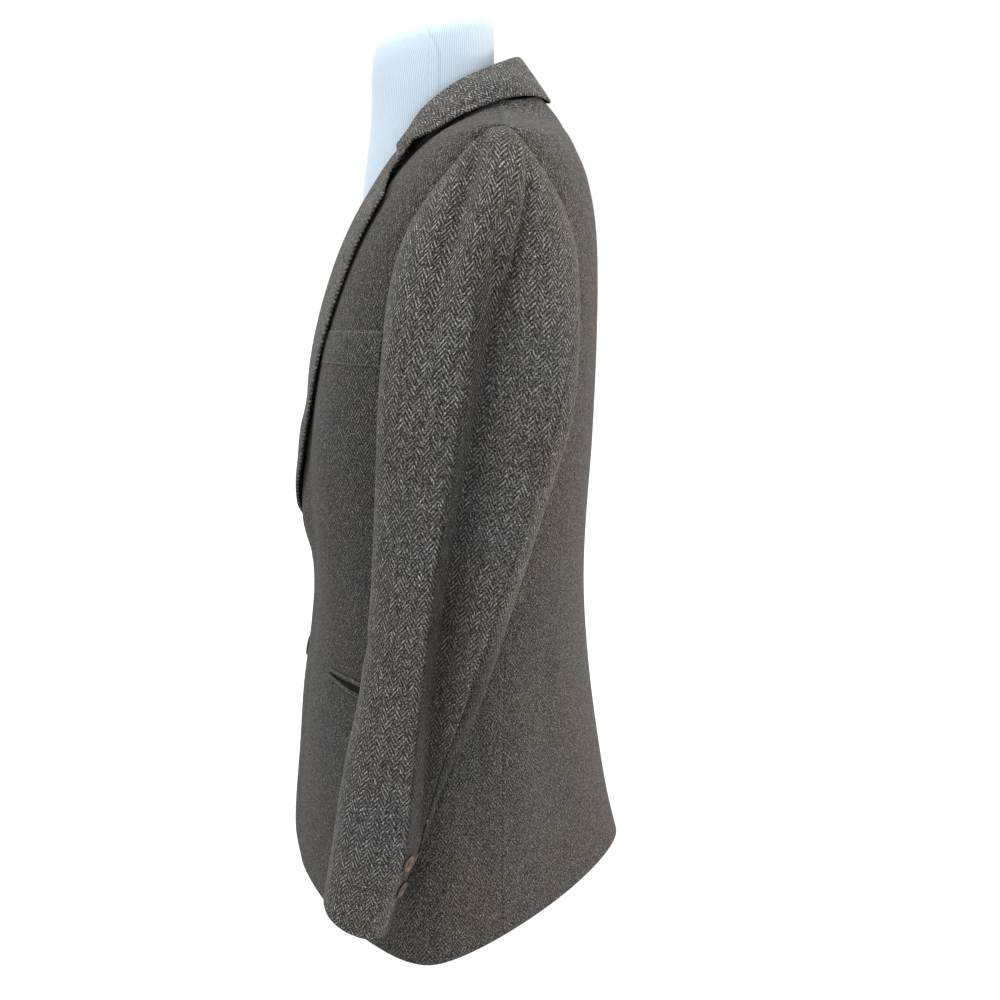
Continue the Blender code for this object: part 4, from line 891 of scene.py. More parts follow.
def sectionTurn(place, depth):  # the turn at which a section's outer side has this depth
    low, high = np.full(np.shape(place), -89.0), np.full(np.shape(place), 89.0)
    return findTurn(low, high, lambda turn: sleeveSection(turn, place)[..., 1] < depth)


def foldAt(height):
    return rowAt(foldRows, placeAt(foldRows, np.maximum(foldRows[0, 0], height)))


def pressedIn(points, outwards):  # the long fold's trough, close behind its ridge
    fold = foldAt(points[..., 2])
    behind = points[..., 1] - fold[..., 1]
    start = foldTrough["behind"]
    shape = np.where(behind > start, bell(behind - start, foldTrough["width"]),
                     smoothStep(behind, 0.0, start))
    pressed = points.copy()
    pressed[..., 0] -= fold[..., 2] * shape * smoothStep(outwards, 0.0, 0.5)
    return pressed


def fullSleeve(mark, turn, step):  # step 0 is the armhole, 1 the sleeve's own top, 2 the cuff
    ring = ringTurn(mark % float(ringCount))
    angle, place = armholeAngle(ring), armholePlace(ring)
    start, normal = bodySurface(angle, place), bodyNormal(angle, place)
    toCentre = armholeCentre - start
    toCentre = unit(toCentre - normal * (toCentre * normal).sum(-1, keepdims=True))
    overTop = (np.maximum(0.0, start[..., 2] - armholeCentre[2]) / armhole["halfHeight"])[..., None]
    inset = sleeveHead["inset"] + sleeveHead["inset"] * overTop ** 2
    start = start - toCentre * inset - normal * sleeveHead["sink"]
    end = sleeveSection(turn, np.full(np.shape(turn), sleeveTop))
    below = sleeveSection(turn, np.full(np.shape(turn), sleeveTop - 0.05))
    reach = np.linalg.norm(end - start, axis=-1, keepdims=True)
    lean = math.radians(sleeveHead["lean"]) * overTop ** 2
    leave = (normal * np.cos(lean) + toCentre * np.sin(lean)) * reach * mix(0.55, 0.75, overTop)
    arrive = unit(below - end) * reach * mix(0.8, 1.1, overTop)
    s = np.clip(step, 0.0, 1.0)[..., None]
    square, cube = s ** 2, s ** 3
    cap = (start * (2 * cube - 3 * square + 1) + leave * (cube - 2 * square + s)
           + end * (3 * square - 2 * cube) + arrive * (cube - square))
    lower = sleeveSection(turn, sleeveTop * np.clip(2.0 - step, 0.0, 1.0))
    return np.where((step >= 1.0)[..., None], lower, cap)


def sleevePoints(mark, turn, step):
    mark, turn, step = np.broadcast_arrays(mark, turn, step)
    small = 0.02
    turnStep = small * 360.0 / ringCount
    across = fullSleeve(mark + small, turn + turnStep, step) - fullSleeve(mark - small, turn - turnStep, step)
    low, high = np.maximum(0.0, step - small / 2), np.minimum(2.0, step + small / 2)
    down = fullSleeve(mark, turn, high) - fullSleeve(mark, turn, low)
    facing = np.cos(np.radians(turn)) * smoothStep(step, 0.0, 0.5)
    return pressedIn(fullSleeve(mark, turn, step), facing), unit(np.cross(down, across))


def sleeveBreaks(steps):  # turns of the front seam, the fold's ridge and trough, and the hind seam
    place = sleeveTop * (2.0 - np.maximum(1.0, steps))
    row = rowAt(sleeveRows, place)
    fold = foldAt(row[..., 0])
    ridge, trough = sectionTurn(place, fold[..., 1]), sectionTurn(place, fold[..., 1] + foldTrough["behind"])
    inset = mix(0.004, 0.015, smoothStep(row[..., 0], 0.10, 0.30))
    hind = np.maximum(sectionTurn(place, row[..., 3] - inset), trough + 6.0)
    return np.full(len(steps), -112.0), ridge, trough, hind


sleeveSteps = np.concatenate([[0.0, 0.006, 0.014, 0.026], np.linspace(0.045, 1.0, 44)[:-1],
                              np.linspace(1.0, 2.0, 112)[:-2], [1.990, 1.996, 1.9985, 2.0]])
breaks = np.stack(sleeveBreaks(sleeveSteps), axis=-1)
breakColumns = (0.0, 10.0, 12.0, 17.0)    # where those turns lie across the top sleeve
topSpan = breakColumns[-1]
topColumns = endShares(0.24, 0.0034) * topSpan
topTurns = np.stack([np.interp(topColumns, breakColumns, row) for row in breaks])
topGrid, topOutward = sleevePoints(mix(-6.0, 5.0, topColumns / topSpan)[None], topTurns, sleeveSteps[:, None])
underShares = endShares(0.17, 0.0040)
underTurns = mix(breaks[:, 3:4], breaks[:, 0:1] + 360.0, underShares[None])
underGrid, underOutward = sleevePoints(mix(5.0, 16.0, underShares)[None], underTurns, sleeveSteps[:, None])


def sleeveWarpField(points):  # up the sleeve, and inwards over its head
    behind = points[..., 1] - foldAt(points[..., 2])[..., 1]
    field = np.zeros_like(points)
    field[..., 0] = -smoothStep(points[..., 2], 0.62, 0.73) * 1.6
    field[..., 1] = mix(0.08, 0.26, smoothStep(behind, -0.010, 0.030))   # the sleeve hangs a little forward
    field[..., 1] += 0.14 * smoothStep(points[..., 2], 0.30, 0.10)
    field[..., 2] = 1.0
    return field


for name, points, outward, seed in (("top", topGrid, topOutward, 21), ("under", underGrid, underOutward, 22)):
    isTop = name == "top"
    closeSeam(points, 0, 3.0)
    closeSeam(points, -1, 3.0)
    hindSeam = 1.0 - 0.8 * smoothStep(points[:, -1 if isTop else 0, 2], 0.20, 0.40)
    seams = {"first": 0.5, "last": hindSeam} if isTop else {"first": hindSeam, "last": 0.5}
    shaped, dark = finishPanel(points, outward, seams, seed, sleeveCreases, 0.0011)
    if isTop:   # small gathers where the sleeve head is eased into the armhole
        ease = bell(arcLengths(points, 0) - 0.007, 0.007) * smoothStep(points[..., 2], 0.66, 0.70)
        shaped += outward * (ease * 0.0002 * np.sin(arcLengths(points, 1) * math.tau / 0.017))[..., None]
    height, down = shaped[..., 2], arcLengths(shaped, 0)
    behind = shaped[..., 1] - foldAt(height)[..., 1]
    if isTop:
        # painted shade: the top sleeve is darkened close behind the fold's ridge, where the fold's shadow falls
        facing = smoothStep(np.cos(np.radians(topTurns)), 0.0, 0.3)
        shadow = behind + mix(0.0008, 0.0028, smoothStep(height, 0.30, 0.45))
        paintedShade = smoothStep(shadow, -0.0005, 0.0015) * (1.0 - smoothStep(shadow, 0.012, 0.044)) * facing
        paintedShade *= mix(0.66, 0.45, smoothStep(height, 0.30, 0.50)) * (1.0 - smoothStep(height, 0.60, 0.68))
    else:   # the same hollow goes on past the seam, down to the cuff
        # painted shade: the fold's painted shadow goes on past the seam, down to the cuff
        paintedShade = 0.60 * (1.0 - smoothStep(arcLengths(shaped, 1), 0.012, 0.045))
        paintedShade = paintedShade * (1.0 - smoothStep(height, 0.27, 0.38))
    clear = mix(0.55, 1.0, smoothStep(down, 0.004, 0.040))
    clear = clear * mix(0.80, 1.0, smoothStep(height, 0.50, 0.62))
    clear = clear * mix(1.0, 0.80, smoothStep(behind, 0.0, 0.03))
    uv = flatChart(shaped, gridNormals(shaped, outward), sleeveWarpField(shaped))
    lined = (down[-1:] - down > facingWidth["cuff"]).astype(np.int32)
    for side, flip in sides:
        tailor(name + "Sleeve." + side, name + "_sleeve_" + side, flip, shaped, outward, uv,
               np.maximum(dark, paintedShade), lined, clear, "hung", ["frontPanel." + side, "backPanel." + side])
print("sleeves made")

# Collar: neckline seam, top of the fold and free edge of each station, and its bulge
collarRows = np.array([
    (0.000, 0.0775, 0.7640, 0.000, 0.0662, 0.7962, 0.000, 0.0964, 0.7578, 0.0002),
    (0.036, 0.0690, 0.7580, 0.030, 0.0510, 0.7890, 0.0443, 0.0812, 0.7606, 0.0022),
    (0.057, 0.0540, 0.7520, 0.052, 0.0310, 0.7790, 0.0693, 0.0580, 0.7572, 0.0034),
    (0.0665, 0.0390, 0.7515, 0.063, 0.0130, 0.7695, 0.0850, 0.0370, 0.7497, 0.0022),
    (0.0668, 0.0220, 0.7490, 0.068, -0.0035, 0.7580, 0.0950, 0.0190, 0.7420, 0.0025),
    (0.0662, 0.0060, 0.7415, 0.070, -0.0185, 0.7450, 0.1010, 0.0050, 0.7346, 0.0030),
    (0.0648, -0.0100, 0.7290, 0.070, -0.0300, 0.7295, 0.1040, -0.0092, 0.7265, 0.0030),
    (0.0635, -0.0215, 0.7190, 0.068, -0.0395, 0.7185, 0.0970, -0.0242, 0.7208, 0.0020),
])
# roll across and height, edge across and height, rise of the roll, hover of the edge, flat
upperLapelRows = [
    (0.0160, 0.500, 0.0650, 0.492, 0.0092, 0.0058, 0.0),
    (0.0297, 0.560, 0.0840, 0.548, 0.0092, 0.0050, 0.0),
    (0.0434, 0.620, 0.1000, 0.602, 0.0084, 0.0040, 0.0),
    (0.0549, 0.670, 0.1115, 0.645, 0.0080, 0.0040, 0.0),
    (0.0638, 0.7065, 0.1175, 0.672, 0.0095, 0.0042, 0.0),
]
leftLapelRows = np.array([
    (-0.0160, 0.362, -0.0125, 0.361, 0.0028, 0.0028, 0.0),
    (-0.0110, 0.382, 0.0115, 0.380, 0.0036, 0.0042, 0.0),
    (-0.0040, 0.412, 0.0295, 0.409, 0.0048, 0.0064, 0.0),
    (0.0055, 0.454, 0.0495, 0.449, 0.0060, 0.0070, 0.0),
] + upperLapelRows)
rightLapelRows = np.array([
    (0.0165, 0.3930, 0.0190, 0.3925, 0.0030, 0.0030, 1.0),
    (0.0110, 0.415, 0.0300, 0.412, 0.0034, 0.0034, 1.0),
    (0.0062, 0.440, 0.0420, 0.436, 0.0045, 0.0045, 1.0),
    (0.0085, 0.470, 0.0545, 0.464, 0.0080, 0.0056, 0.0),
] + upperLapelRows)
lapelSection = np.array([   # share of the width, distance, share of the rise, share of the hover
    (0.00, -0.0021, 0.00, 0.00), (0.00, -0.0042, 0.30, 0.00), (0.00, -0.0052, 0.65, 0.00),
    (0.00, -0.0030, 0.93, 0.00), (0.00, 0.0015, 1.00, 0.00), (0.20, 0.0000, 0.62, 0.40),
    (0.45, 0.0000, 0.15, 0.95), (0.72, 0.0000, 0.00, 1.05), (1.00, 0.0000, 0.00, 1.00),
])


lapelSteps = 120
crispEdge = [7.8, 7.88, 7.94, 8.0]    # places in a section, close together at its free edge


def lapelPoints(rows, lifted):
    last = len(rows) - 1
    places = np.concatenate([[0.0, 0.02, 0.05], np.linspace(0.1, len(rows) - 1.1, lapelSteps),
                             [last - 0.05, last - 0.02, last]])
    row = rowAt(rows, places)[:, None]
    index = np.concatenate([np.linspace(0.0, 5.0, 26)[:-1], np.linspace(5.0, 7.8, 26)[:-1], crispEdge])
    part = rowAt(lapelSection, index)[None]
    width = np.hypot(row[..., 2] - row[..., 0], row[..., 3] - row[..., 1])
    share = part[..., 0] + part[..., 1] * np.minimum(1.0, width / 0.02) / width
    flat = row[..., 6]
    share = mix(share, index[None] / 8.0, flat)
    out = part[..., 2] * row[..., 4] + part[..., 3] * row[..., 5]
    out = out - (cloth["wall"] / 2.0) * np.clip(1.0 - index, 0.0, 1.0)[None]
    out = mix(out, row[..., 5], flat)
    across = mix(row[..., 0], row[..., 2], share)
    height = mix(row[..., 1], row[..., 3], share)
    if lifted:
        out = out + frontLift(across, height)
    return frontPoint(across, height, out)


def lapelHeight(row, share):
    rise, hover = (np.interp(share, lapelSection[4:, 0], lapelSection[4:, column]) for column in (2, 3))
    return rise * row[4] + hover * row[5]


sectionIndex = np.concatenate([np.linspace(0.0, 3.0, 12)[:-1], np.linspace(3.0, 5.0, 14)[:-1],
                               np.linspace(5.0, 7.8, 18)[:-1], crispEdge])


def smoothSection(points):  # points: stations x 9 x 3, read on smooth curves at sectionIndex
    flat = points.transpose(1, 0, 2).reshape(9, -1)
    return rowAt(flat, sectionIndex).reshape(len(sectionIndex), -1, 3).transpose(1, 0, 2)


def collarPoints():
    mirrored = collarRows[1:2] * np.array([-1.0, 1.0, 1.0] * 3 + [1.0])
    stations = rowAt(np.concatenate([mirrored, collarRows]), np.linspace(1.0, 8.0, 84))
    seam, fold, edge = stations[:, 0:3], stations[:, 3:6], stations[:, 6:9]
    bulge = stations[:, 9:10]
    upright = np.array([[0.0, 0.0, 1.0]])
    away = unit((edge - seam) * np.array([1.0, 1.0, 0.0]))
    inner = fold - away * 0.0036 - upright * 0.0026
    outer = fold + away * 0.0040 - upright * 0.0026
    lift = away * bulge * 0.5 + upright * bulge
    half = np.stack([seam, mix(seam, inner, 0.4), mix(seam, inner, 0.75), inner, fold, outer,
                     mix(outer, edge, 0.33) + lift, mix(outer, edge, 0.68) + lift, edge], axis=1)
    row = upperLapelRows[-1]
    along = np.array([row[2] - row[0], row[3] - row[1]])
    width = float(np.linalg.norm(along))
    rise = np.array([-along[1], along[0]]) / width * (0.0014 + cloth["double"] * 0.1)
    gorge = []
    for part in lapelSection:
        share = part[0] * 0.49 + part[1] / width
        out = part[2] * row[4] if part[0] == 0.0 else float(lapelHeight(row, share))
        across, up = mix(row[0], row[2], share) + rise[0], mix(row[1], row[3], share) + rise[1]
        gorge.append(frontPoint(across, up, out))
    gorge = np.array(gorge)[None]
    ends = np.concatenate([mix(half[-1:], gorge, share) for share in (0.2, 0.4, 0.6, 0.8, 0.93, 1.0)])
    half = smoothSection(np.concatenate([half, ends]))
    return np.concatenate([(half[1:] * mirror)[::-1], half])


# dark and darkWidth: strength and width of the painted shade in the stitched pinch
rolledEdge = {"stitch": 0.0060, "pinch": 0.00030, "pinchWidth": 0.0013, "dark": 0.35, "darkWidth": 0.0008}


def foldedPiece(name, middle, outward, uv, underside, node, restsOn, seed):
    normals = gridNormals(middle, outward)
    rowArc = arcLengths(middle, 1)
    fromEdge = rowArc[:, -1:] - rowArc
    uneven = waves(middle, seed, (0.05, 0.05, 0.08)) * 0.00035 * smoothStep(fromEdge, 0.0, 0.006)
    # the sewn edge is rolled: a little thicker at the rim, pinched where it is stitched
    fromStitch = fromEdge - rolledEdge["stitch"]
    uneven = uneven - rolledEdge["pinch"] * bell(fromStitch, rolledEdge["pinchWidth"])
    outer = middle + normals * (cloth["double"] / 2.0 + uneven)[..., None]
    # painted shade along the stitched pinch
    dark = rolledEdge["dark"] * bell(fromStitch, rolledEdge["darkWidth"])
    materials = [finishes["brightenedCollarTweed"], finishes[underside]]
    piece = clothPiece(name, outer, normals, uv, cloth["double"], dark, materials,
                       np.ones(outer.shape[:2], dtype=np.int32))
    strips[name] = (outer, normals)
    declareCloth(piece, uv, node, "folded", restsOn)


collarMiddle = collarPoints()
# outward is judged on the fall, where the top cloth faces up and away from the neck
fall = sectionIndex > 5.0
away = unit(collarMiddle - np.array([0.0, 0.03, 0.70])) * fall[None, :, None]
along = arcLengths(collarMiddle, 0)
along = along - along[len(along) // 2][None]
guide = {"collar": 30, "lapel": 40}    # the column whose length counts as the piece's
along = along[:, [guide["collar"]]] * np.ones((1, collarMiddle.shape[1]))
collarUv = np.stack([along, arcLengths(collarMiddle, 1)], axis=-1)
foldedPiece("collar", collarMiddle, away, collarUv, "melton", "collar", ["dress_form", "backPanel.left"], 31)

for (side, flip), rows in zip(sides, (leftLapelRows, rightLapelRows)):
    middle = lapelPoints(rows, side == "left") * flip
    front = np.zeros_like(middle)
    front[:, 45:, 1] = -1.0    # judged near the free edge
    up, across = arcLengths(middle, 0)[:, [guide["lapel"]]], arcLengths(middle, 1)
    uv = np.stack([across[:, -1:] - across, up * np.ones((1, middle.shape[1]))], axis=-1)
    foldedPiece("lapel." + side, middle, front, uv, "tweed", "lapel_" + side, ["frontPanel." + side], 33)
print("collar and lapels made")

# Pockets
breastPocket = {"from": 0.076, "to": 0.170, "low": 0.5258, "height": 0.0295, "slant": 0.095}
hipPocket = {"across": 0.120, "height": 0.242, "drop": 0.05, "length": 0.145, "jet": 0.007, "mouth": 0.006,
             "bodyRadius": 0.165}
applied = {"gap": -0.0004, "wall": 0.0018}
jetHeight, mouthHalf = hipPocket["jet"] * 0.6, hipPocket["mouth"] / 2.0
fitCount = 400      # points of a panel's chart that a pocket's weave is fitted to


def breastPath(share, rise):
    across = mix(breastPocket["from"], breastPocket["to"], share)
    slanted = breastPocket["slant"] * (across - breastPocket["from"])
    place = bodyPlace(breastPocket["low"] + slanted + rise)
    return angleAcross(across, place), place


def hipPath(share, rise):
    start = float(angleAcross(hipPocket["across"], bodyPlace(hipPocket["height"])))
    distance = hipPocket["length"] * share
    angle = start + np.degrees(distance / hipPocket["bodyRadius"])
    gape = mix(0.08, 1.05, np.clip(share / 0.27, 0.0, 1.0)) * (1.0 - 0.9 * smoothStep(share, 0.72, 1.0))
    inside = np.clip(rise, -mouthHalf, mouthHalf)
    rise = inside * gape + (rise - inside)
    return angle, bodyPlace(hipPocket["height"] - distance * hipPocket["drop"] + rise)


def stripGrid(path, length, low, high, bulge):
    shares = endShares(length, 0.0025, (0.0006, 0.0014))
    rises = mix(low, high, endShares(high - low, min(0.002, (high - low) / 5.0), (0.0004, 0.0010)))
    share, rise = np.meshgrid(shares, rises)
    angle, place = path(share, rise)
    crown = np.sin(np.clip((rise - low) / (high - low), 0.0, 1.0) * math.pi) ** 0.7
    out = applied["gap"] + applied["wall"] + bulge * crown
    return bodyPoint(angle, place, out), bodyNormal(angle, place)


def pocketPiece(name, points, outward, wall, node, finish, clear, onto):
    # its weave carries on from the panel below
    panel, chart = (values.reshape(-1, values.shape[-1]) for values in charts[onto])
    middle = points.reshape(-1, 3).mean(0)
    near = np.argsort(np.linalg.norm(panel - middle, axis=1))[:fitCount]
    ends = np.concatenate([panel[near], np.ones((fitCount, 1))], axis=1)
    fit = np.linalg.lstsq(ends, chart[near], rcond=None)[0]
    uv = points @ fit[:3] + fit[3]
    # painted shade: an even darkening of the whole pocket piece
    piece = clothPiece(name, points, outward, uv, wall, shade["pocket"], [finishes[finish]], None, clear)
    strips[name] = (points, gridNormals(points, outward))
    if min(uv.reshape(-1, 2).max(0) - uv.reshape(-1, 2).min(0)) > 0.010:
        declareCloth(piece, uv, node, "laid", [onto], finish)
    else:   # a narrow trim, sewn to its panel
        carry(piece, finish, node)
        trims.setdefault(onto, []).append(piece)


points, outward = stripGrid(breastPath, 0.098, 0.0, breastPocket["height"], 0.0003)
pocketPiece("breastWelt", points, outward, applied["wall"], "breast_welt", "tweed", 0.8, "frontPanel.left")
for side, flip in sides:
    for name, node, low, high, bulge, finish in (
            ("hipJetUpper.", "hip_jet_upper_", mouthHalf, mouthHalf + jetHeight, 0.0007, "tweed"),
            ("hipMouth.", "hip_pocket_mouth_", -mouthHalf + 0.0003, mouthHalf - 0.0003, -0.0012, "pocketing"),
            ("hipJetLower.", "hip_jet_lower_", -mouthHalf - jetHeight, -mouthHalf, 0.0004, "tweed")):
        points, outward = stripGrid(hipPath, hipPocket["length"], low, high, bulge)
        wall = applied["wall"]
        # the mouth is real pocket cloth sunk between the jets, near black as painted shade
        if finish == "pocketing":   # lies sunk between the two jets
            wall = wall / 2.0
            points = points - outward * wall + outward * 0.0012
        pocketPiece(name + side, points * flip, outward * flip, wall, node + side, finish, 0.2,
                    "frontPanel." + side)
print("pockets made")

# Buttons: four holes, a raised rim and crossed thread
frontButton = {"radius": 0.010, "thickness": 0.0021, "heights": (0.322, 0.222)}
cuffButton = {"radius": 0.0075, "thickness": 0.0028,
              "places": ((0.108, 58.0, 0.0003), (0.135, 44.0, -0.0001))}    # height, turn, length of the shank
turnedProfile = [(0.0, 0.60), (0.40, 0.58), (0.58, 0.60), (0.68, 0.72), (0.76, 0.94), (0.83, 1.0), (0.90, 0.97),
                 (0.96, 0.84), (1.0, 0.62), (0.99, 0.42), (0.94, 0.18), (0.86, 0.04), (0.78, 0.0), (0.0, 0.0)]
holes = {"radius": 0.105, "offset": 0.20}    # shares of the button's radius
loops = {"apart": 0.00022, "radius": 0.00024, "reach": 0.283, "sunk": 0.0008, "steps": 10, "corners": 6}


def meshFrom(name, work):
    mesh = bpy.data.meshes.new(name)
    work.to_mesh(mesh)
    work.free()
    return mesh


def buttonMesh(size):
    radius, thick = size["radius"], size["thickness"]
    turned = bmesh.new()
    points = [turned.verts.new((share * radius, 0.0, up * thick)) for share, up in turnedProfile]
    edges = [turned.edges.new(pair) for pair in zip(points, points[1:])]
    bmesh.ops.spin(turned, geom=points + edges, cent=(0, 0, 0), axis=(0, 0, 1), angle=math.tau, steps=48,
                   use_merge=True)
    bmesh.ops.remove_doubles(turned, verts=turned.verts[:], dist=0.00002)
    bmesh.ops.recalc_face_normals(turned, faces=turned.faces[:])
    drill = bmesh.new()
    drillRadius, offset = radius * holes["radius"], radius * holes["offset"]
    for x, y in ((1, 1), (1, -1), (-1, 1), (-1, -1)):
        bmesh.ops.create_cone(drill, cap_ends=True, segments=16, radius1=drillRadius, radius2=drillRadius,
                              depth=thick * 4.0, matrix=Matrix.Translation((x * offset, y * offset, 0.0)))
    blank = addObject("buttonBlank", meshFrom("buttonBlank", turned))
    bits = addObject("drill", meshFrom("drill", drill))
    cut = blank.modifiers.new("holes", "BOOLEAN")
    cut.operation, cut.object = "DIFFERENCE", bits
    result = bpy.data.meshes.new_from_object(blank.evaluated_get(bpy.context.evaluated_depsgraph_get()))
    for helper in (blank, bits):
        bpy.data.objects.remove(helper, do_unlink=True)
    return result


def threadMesh(size):  # two crossed loops through the holes and a wound shank below
    radius, thick = size["radius"], size["thickness"]
    steps, corners = loops["steps"], loops["corners"]
    sewn = bmesh.new()
    for turn in (45.0, 135.0):
        for offset in (-loops["apart"], loops["apart"]):
            rings = []
            for step in range(steps + 1):
                share = step / steps
                along = mix(-1.0, 1.0, share) * radius * loops["reach"]
                up = thick * (0.60 + 0.16 * math.sin(share * math.pi)) + 0.0001
                up -= loops["sunk"] if step in (0, steps) else 0.0
                ring = []
                for corner in range(corners):
                    angle = math.tau * corner / corners
                    ring.append(sewn.verts.new((along, offset + loops["radius"] * math.cos(angle),
                                                up + loops["radius"] * math.sin(angle))))
                rings.append(ring)
            for low, high in zip(rings, rings[1:]):
                for corner in range(corners):
                    following = (corner + 1) % corners
                    sewn.faces.new((low[corner], low[following], high[following], high[corner]))
            sewn.faces.new(rings[0][::-1])
            sewn.faces.new(rings[-1])
            fresh = [vertex for ring in rings for vertex in ring]
            bmesh.ops.rotate(sewn, verts=fresh, cent=(0, 0, 0),
                             matrix=Matrix.Rotation(math.radians(turn), 3, "Z"))
    bmesh.ops.create_cone(sewn, cap_ends=True, segments=14, radius1=0.0016, radius2=0.0013, depth=0.0016,
                          matrix=Matrix.Translation((0.0, 0.0, -0.0003)))
    bmesh.ops.recalc_face_normals(sewn, faces=sewn.faces[:])
    return meshFrom("buttonThread", sewn)


def setButton(name, blank, thread, centre, facing, flip, node):
    turn = Vector(facing).to_track_quat("Z", "Y").to_matrix().to_4x4()
    place = Matrix.Translation(Vector(centre)) @ turn
    if flip:
        place = Matrix.Diagonal((-1.0, 1.0, 1.0, 1.0)) @ place
    for part, source, finish, slot, nodes in (("", blank, "horn", "horn", [node]),
                                              (".thread", thread, "darkThread", "tweed", [])):
        mesh = source.copy()
        mesh.transform(place)
        if flip:
            mesh.flip_normals()
        mesh.materials.clear()
        mesh.materials.append(finishes[finish])
        mesh.shade_smooth()
        mesh.set_sharp_from_angle(angle=math.radians(38.0))
        carry(addObject(name + part, mesh), slot, *nodes)


blank, thread = buttonMesh(frontButton), threadMesh(frontButton)
for number, height in enumerate(frontButton["heights"], start=1):
    ends = np.array([height - frontButton["radius"], height + frontButton["radius"]])
    low, high = frontPoint(np.zeros(2), ends, frontLift(np.zeros(2), ends))
    facing = unit(np.cross([1.0, 0.0, 0.0], high - low))
    setButton("frontButton.%d" % number, blank, thread, (low + high) / 2.0 - facing * 0.0009, facing, False,
              "front_button_%d" % number)
blank, thread = buttonMesh(cuffButton), threadMesh(cuffButton)
for number, (height, turn, shank) in enumerate(cuffButton["places"], start=1):
    step = 2.0 - float(placeAt(sleeveRows, height)) / sleeveTop
    turns = turn + np.array([0.0, 6.0, -6.0, 0.0, 0.0])
    steps = step + np.array([0.0, 0.0, 0.0, 0.02, -0.02])
    near = sleevePoints(np.zeros(5), turns, steps)[0]
    facing = unit(np.cross(near[3] - near[4], near[1] - near[2]))
    for side, _ in sides:
        setButton("cuffButton.%d.%s" % (number, side), blank, thread, near[0] + facing * shank, facing,
                  side == "right", "cuff_button_%d_%s" % (number, side))
print("buttons made")

# Stitches, laid along paths by Geometry Nodes
def stitchTree():
    tree = bpy.data.node_groups.new("stitchesAlongPath", "GeometryNodeTree")
    tree.interface.new_socket("Path", in_out="INPUT", socket_type="NodeSocketGeometry")
    for name, value in (("Spacing", 0.003), ("Length", 0.0018), ("Thickness", 0.0004)):
        socket = tree.interface.new_socket(name, in_out="INPUT", socket_type="NodeSocketFloat")
        socket.default_value = value
    tree.interface.new_socket("Thread", in_out="INPUT", socket_type="NodeSocketMaterial")
    tree.interface.new_socket("Stitches", in_out="OUTPUT", socket_type="NodeSocketGeometry")
    given = addNode(tree, "NodeGroupInput")
    curve = addNode(tree, "GeometryNodeMeshToCurve", None, {"Mesh": (given, "Path")})
    spaced = addNode(tree, "GeometryNodeResampleCurve", None, {"Curve": (curve, 0)})
    spaced.mode = "LENGTH"
    tree.links.new(given.outputs["Spacing"], spaced.inputs["Length"])
    tangent = addNode(tree, "GeometryNodeInputTangent")
    facing = addNode(tree, "GeometryNodeInputNamedAttribute", {"data_type": "FLOAT_VECTOR"},
                     {"Name": "facing"})
    upright = addNode(tree, "FunctionNodeAlignRotationToVector", {"axis": "Z"}, {"Vector": (facing, 0)})
    turned = addNode(tree, "FunctionNodeAlignRotationToVector", {"axis": "X", "pivot_axis": "Z"},
                     {"Rotation": (upright, 0), "Vector": (tangent, 0)})
    ball = addNode(tree, "GeometryNodeMeshIcoSphere", None, {"Radius": 0.5, "Subdivisions": 1})
    size = addNode(tree, "ShaderNodeCombineXYZ", None,
                   {"X": (given, "Length"), "Y": (given, "Thickness"), "Z": (given, "Thickness")})
    copies = addNode(tree, "GeometryNodeInstanceOnPoints", None,
                     {"Points": (spaced, 0), "Instance": (ball, 0), "Rotation": (turned, 0), "Scale": (size, 0)})
    real = addNode(tree, "GeometryNodeRealizeInstances", None, {"Geometry": (copies, 0)})
    dyed = addNode(tree, "GeometryNodeSetMaterial", None,
                   {"Geometry": (real, 0), "Material": (given, "Thread")})
    addNode(tree, "NodeGroupOutput", None, {"Stitches": (dyed, 0)})
    return tree


stitches = stitchTree()


def sewRows(name, rows, spacing, length, thickness, thread):
    points, facing, edges = [], [], []
    for line, normals in rows:
        start = len(points)
        points.extend(line)
        facing.extend(normals)
        edges.extend((start + index, start + index + 1) for index in range(len(line) - 1))
    mesh = bpy.data.meshes.new(name)
    mesh.from_pydata([tuple(point) for point in points], edges, [])
    mesh.attributes.new("facing", "FLOAT_VECTOR", "POINT").data.foreach_set(
        "vector", np.asarray(facing, dtype=np.float32).ravel())
    piece = addObject(name, mesh)
    sewn = piece.modifiers.new("stitches", "NODES")
    sewn.node_group = stitches
    values = {"Spacing": spacing, "Length": length, "Thickness": thickness, "Thread": finishes[thread]}
    for item in stitches.interface.items_tree:
        if item.in_out == "INPUT" and item.name in values:
            sewn[item.identifier] = values[item.name]
    piece.update_tag()
    result = bpy.data.meshes.new_from_object(piece.evaluated_get(bpy.context.evaluated_depsgraph_get()))
    piece.modifiers.remove(sewn)
    piece.data = result
    carry(piece, "tweed")


def readAlong(places, arc, row):  # a row of points or directions, read at running lengths
    return np.stack([np.interp(places, arc, row[:, axis]) for axis in range(3)], axis=-1)


stitchLift = 0.0001
stitchSize = {    # spacing, length and thickness
    "edge": (0.0038, 0.0020, 0.00042), "pocket": (0.0026, 0.0019, 0.00036), "hole": (0.0007, 0.0010, 0.0008)}
stitchInset = {"edge": 0.006, "welt": 0.0013, "jet": 0.0009}


def alongEdge(strip, edge, distance, part=slice(None)):  # a line at a distance inside an edge
    points, normals = strip
    if edge in ("low", "high"):
        points, normals = points.transpose(1, 0, 2), normals.transpose(1, 0, 2)
    if edge in ("last", "high"):
        points, normals = points[:, ::-1], normals[:, ::-1]
    points, normals = points[part], normals[part]
    arcs = arcLengths(points, 1)
    line, facing = (np.array([readAlong(distance, arc, row) for arc, row in zip(arcs, grid)])
                    for grid in (points, normals))
    return line + unit(facing) * stitchLift, unit(facing)


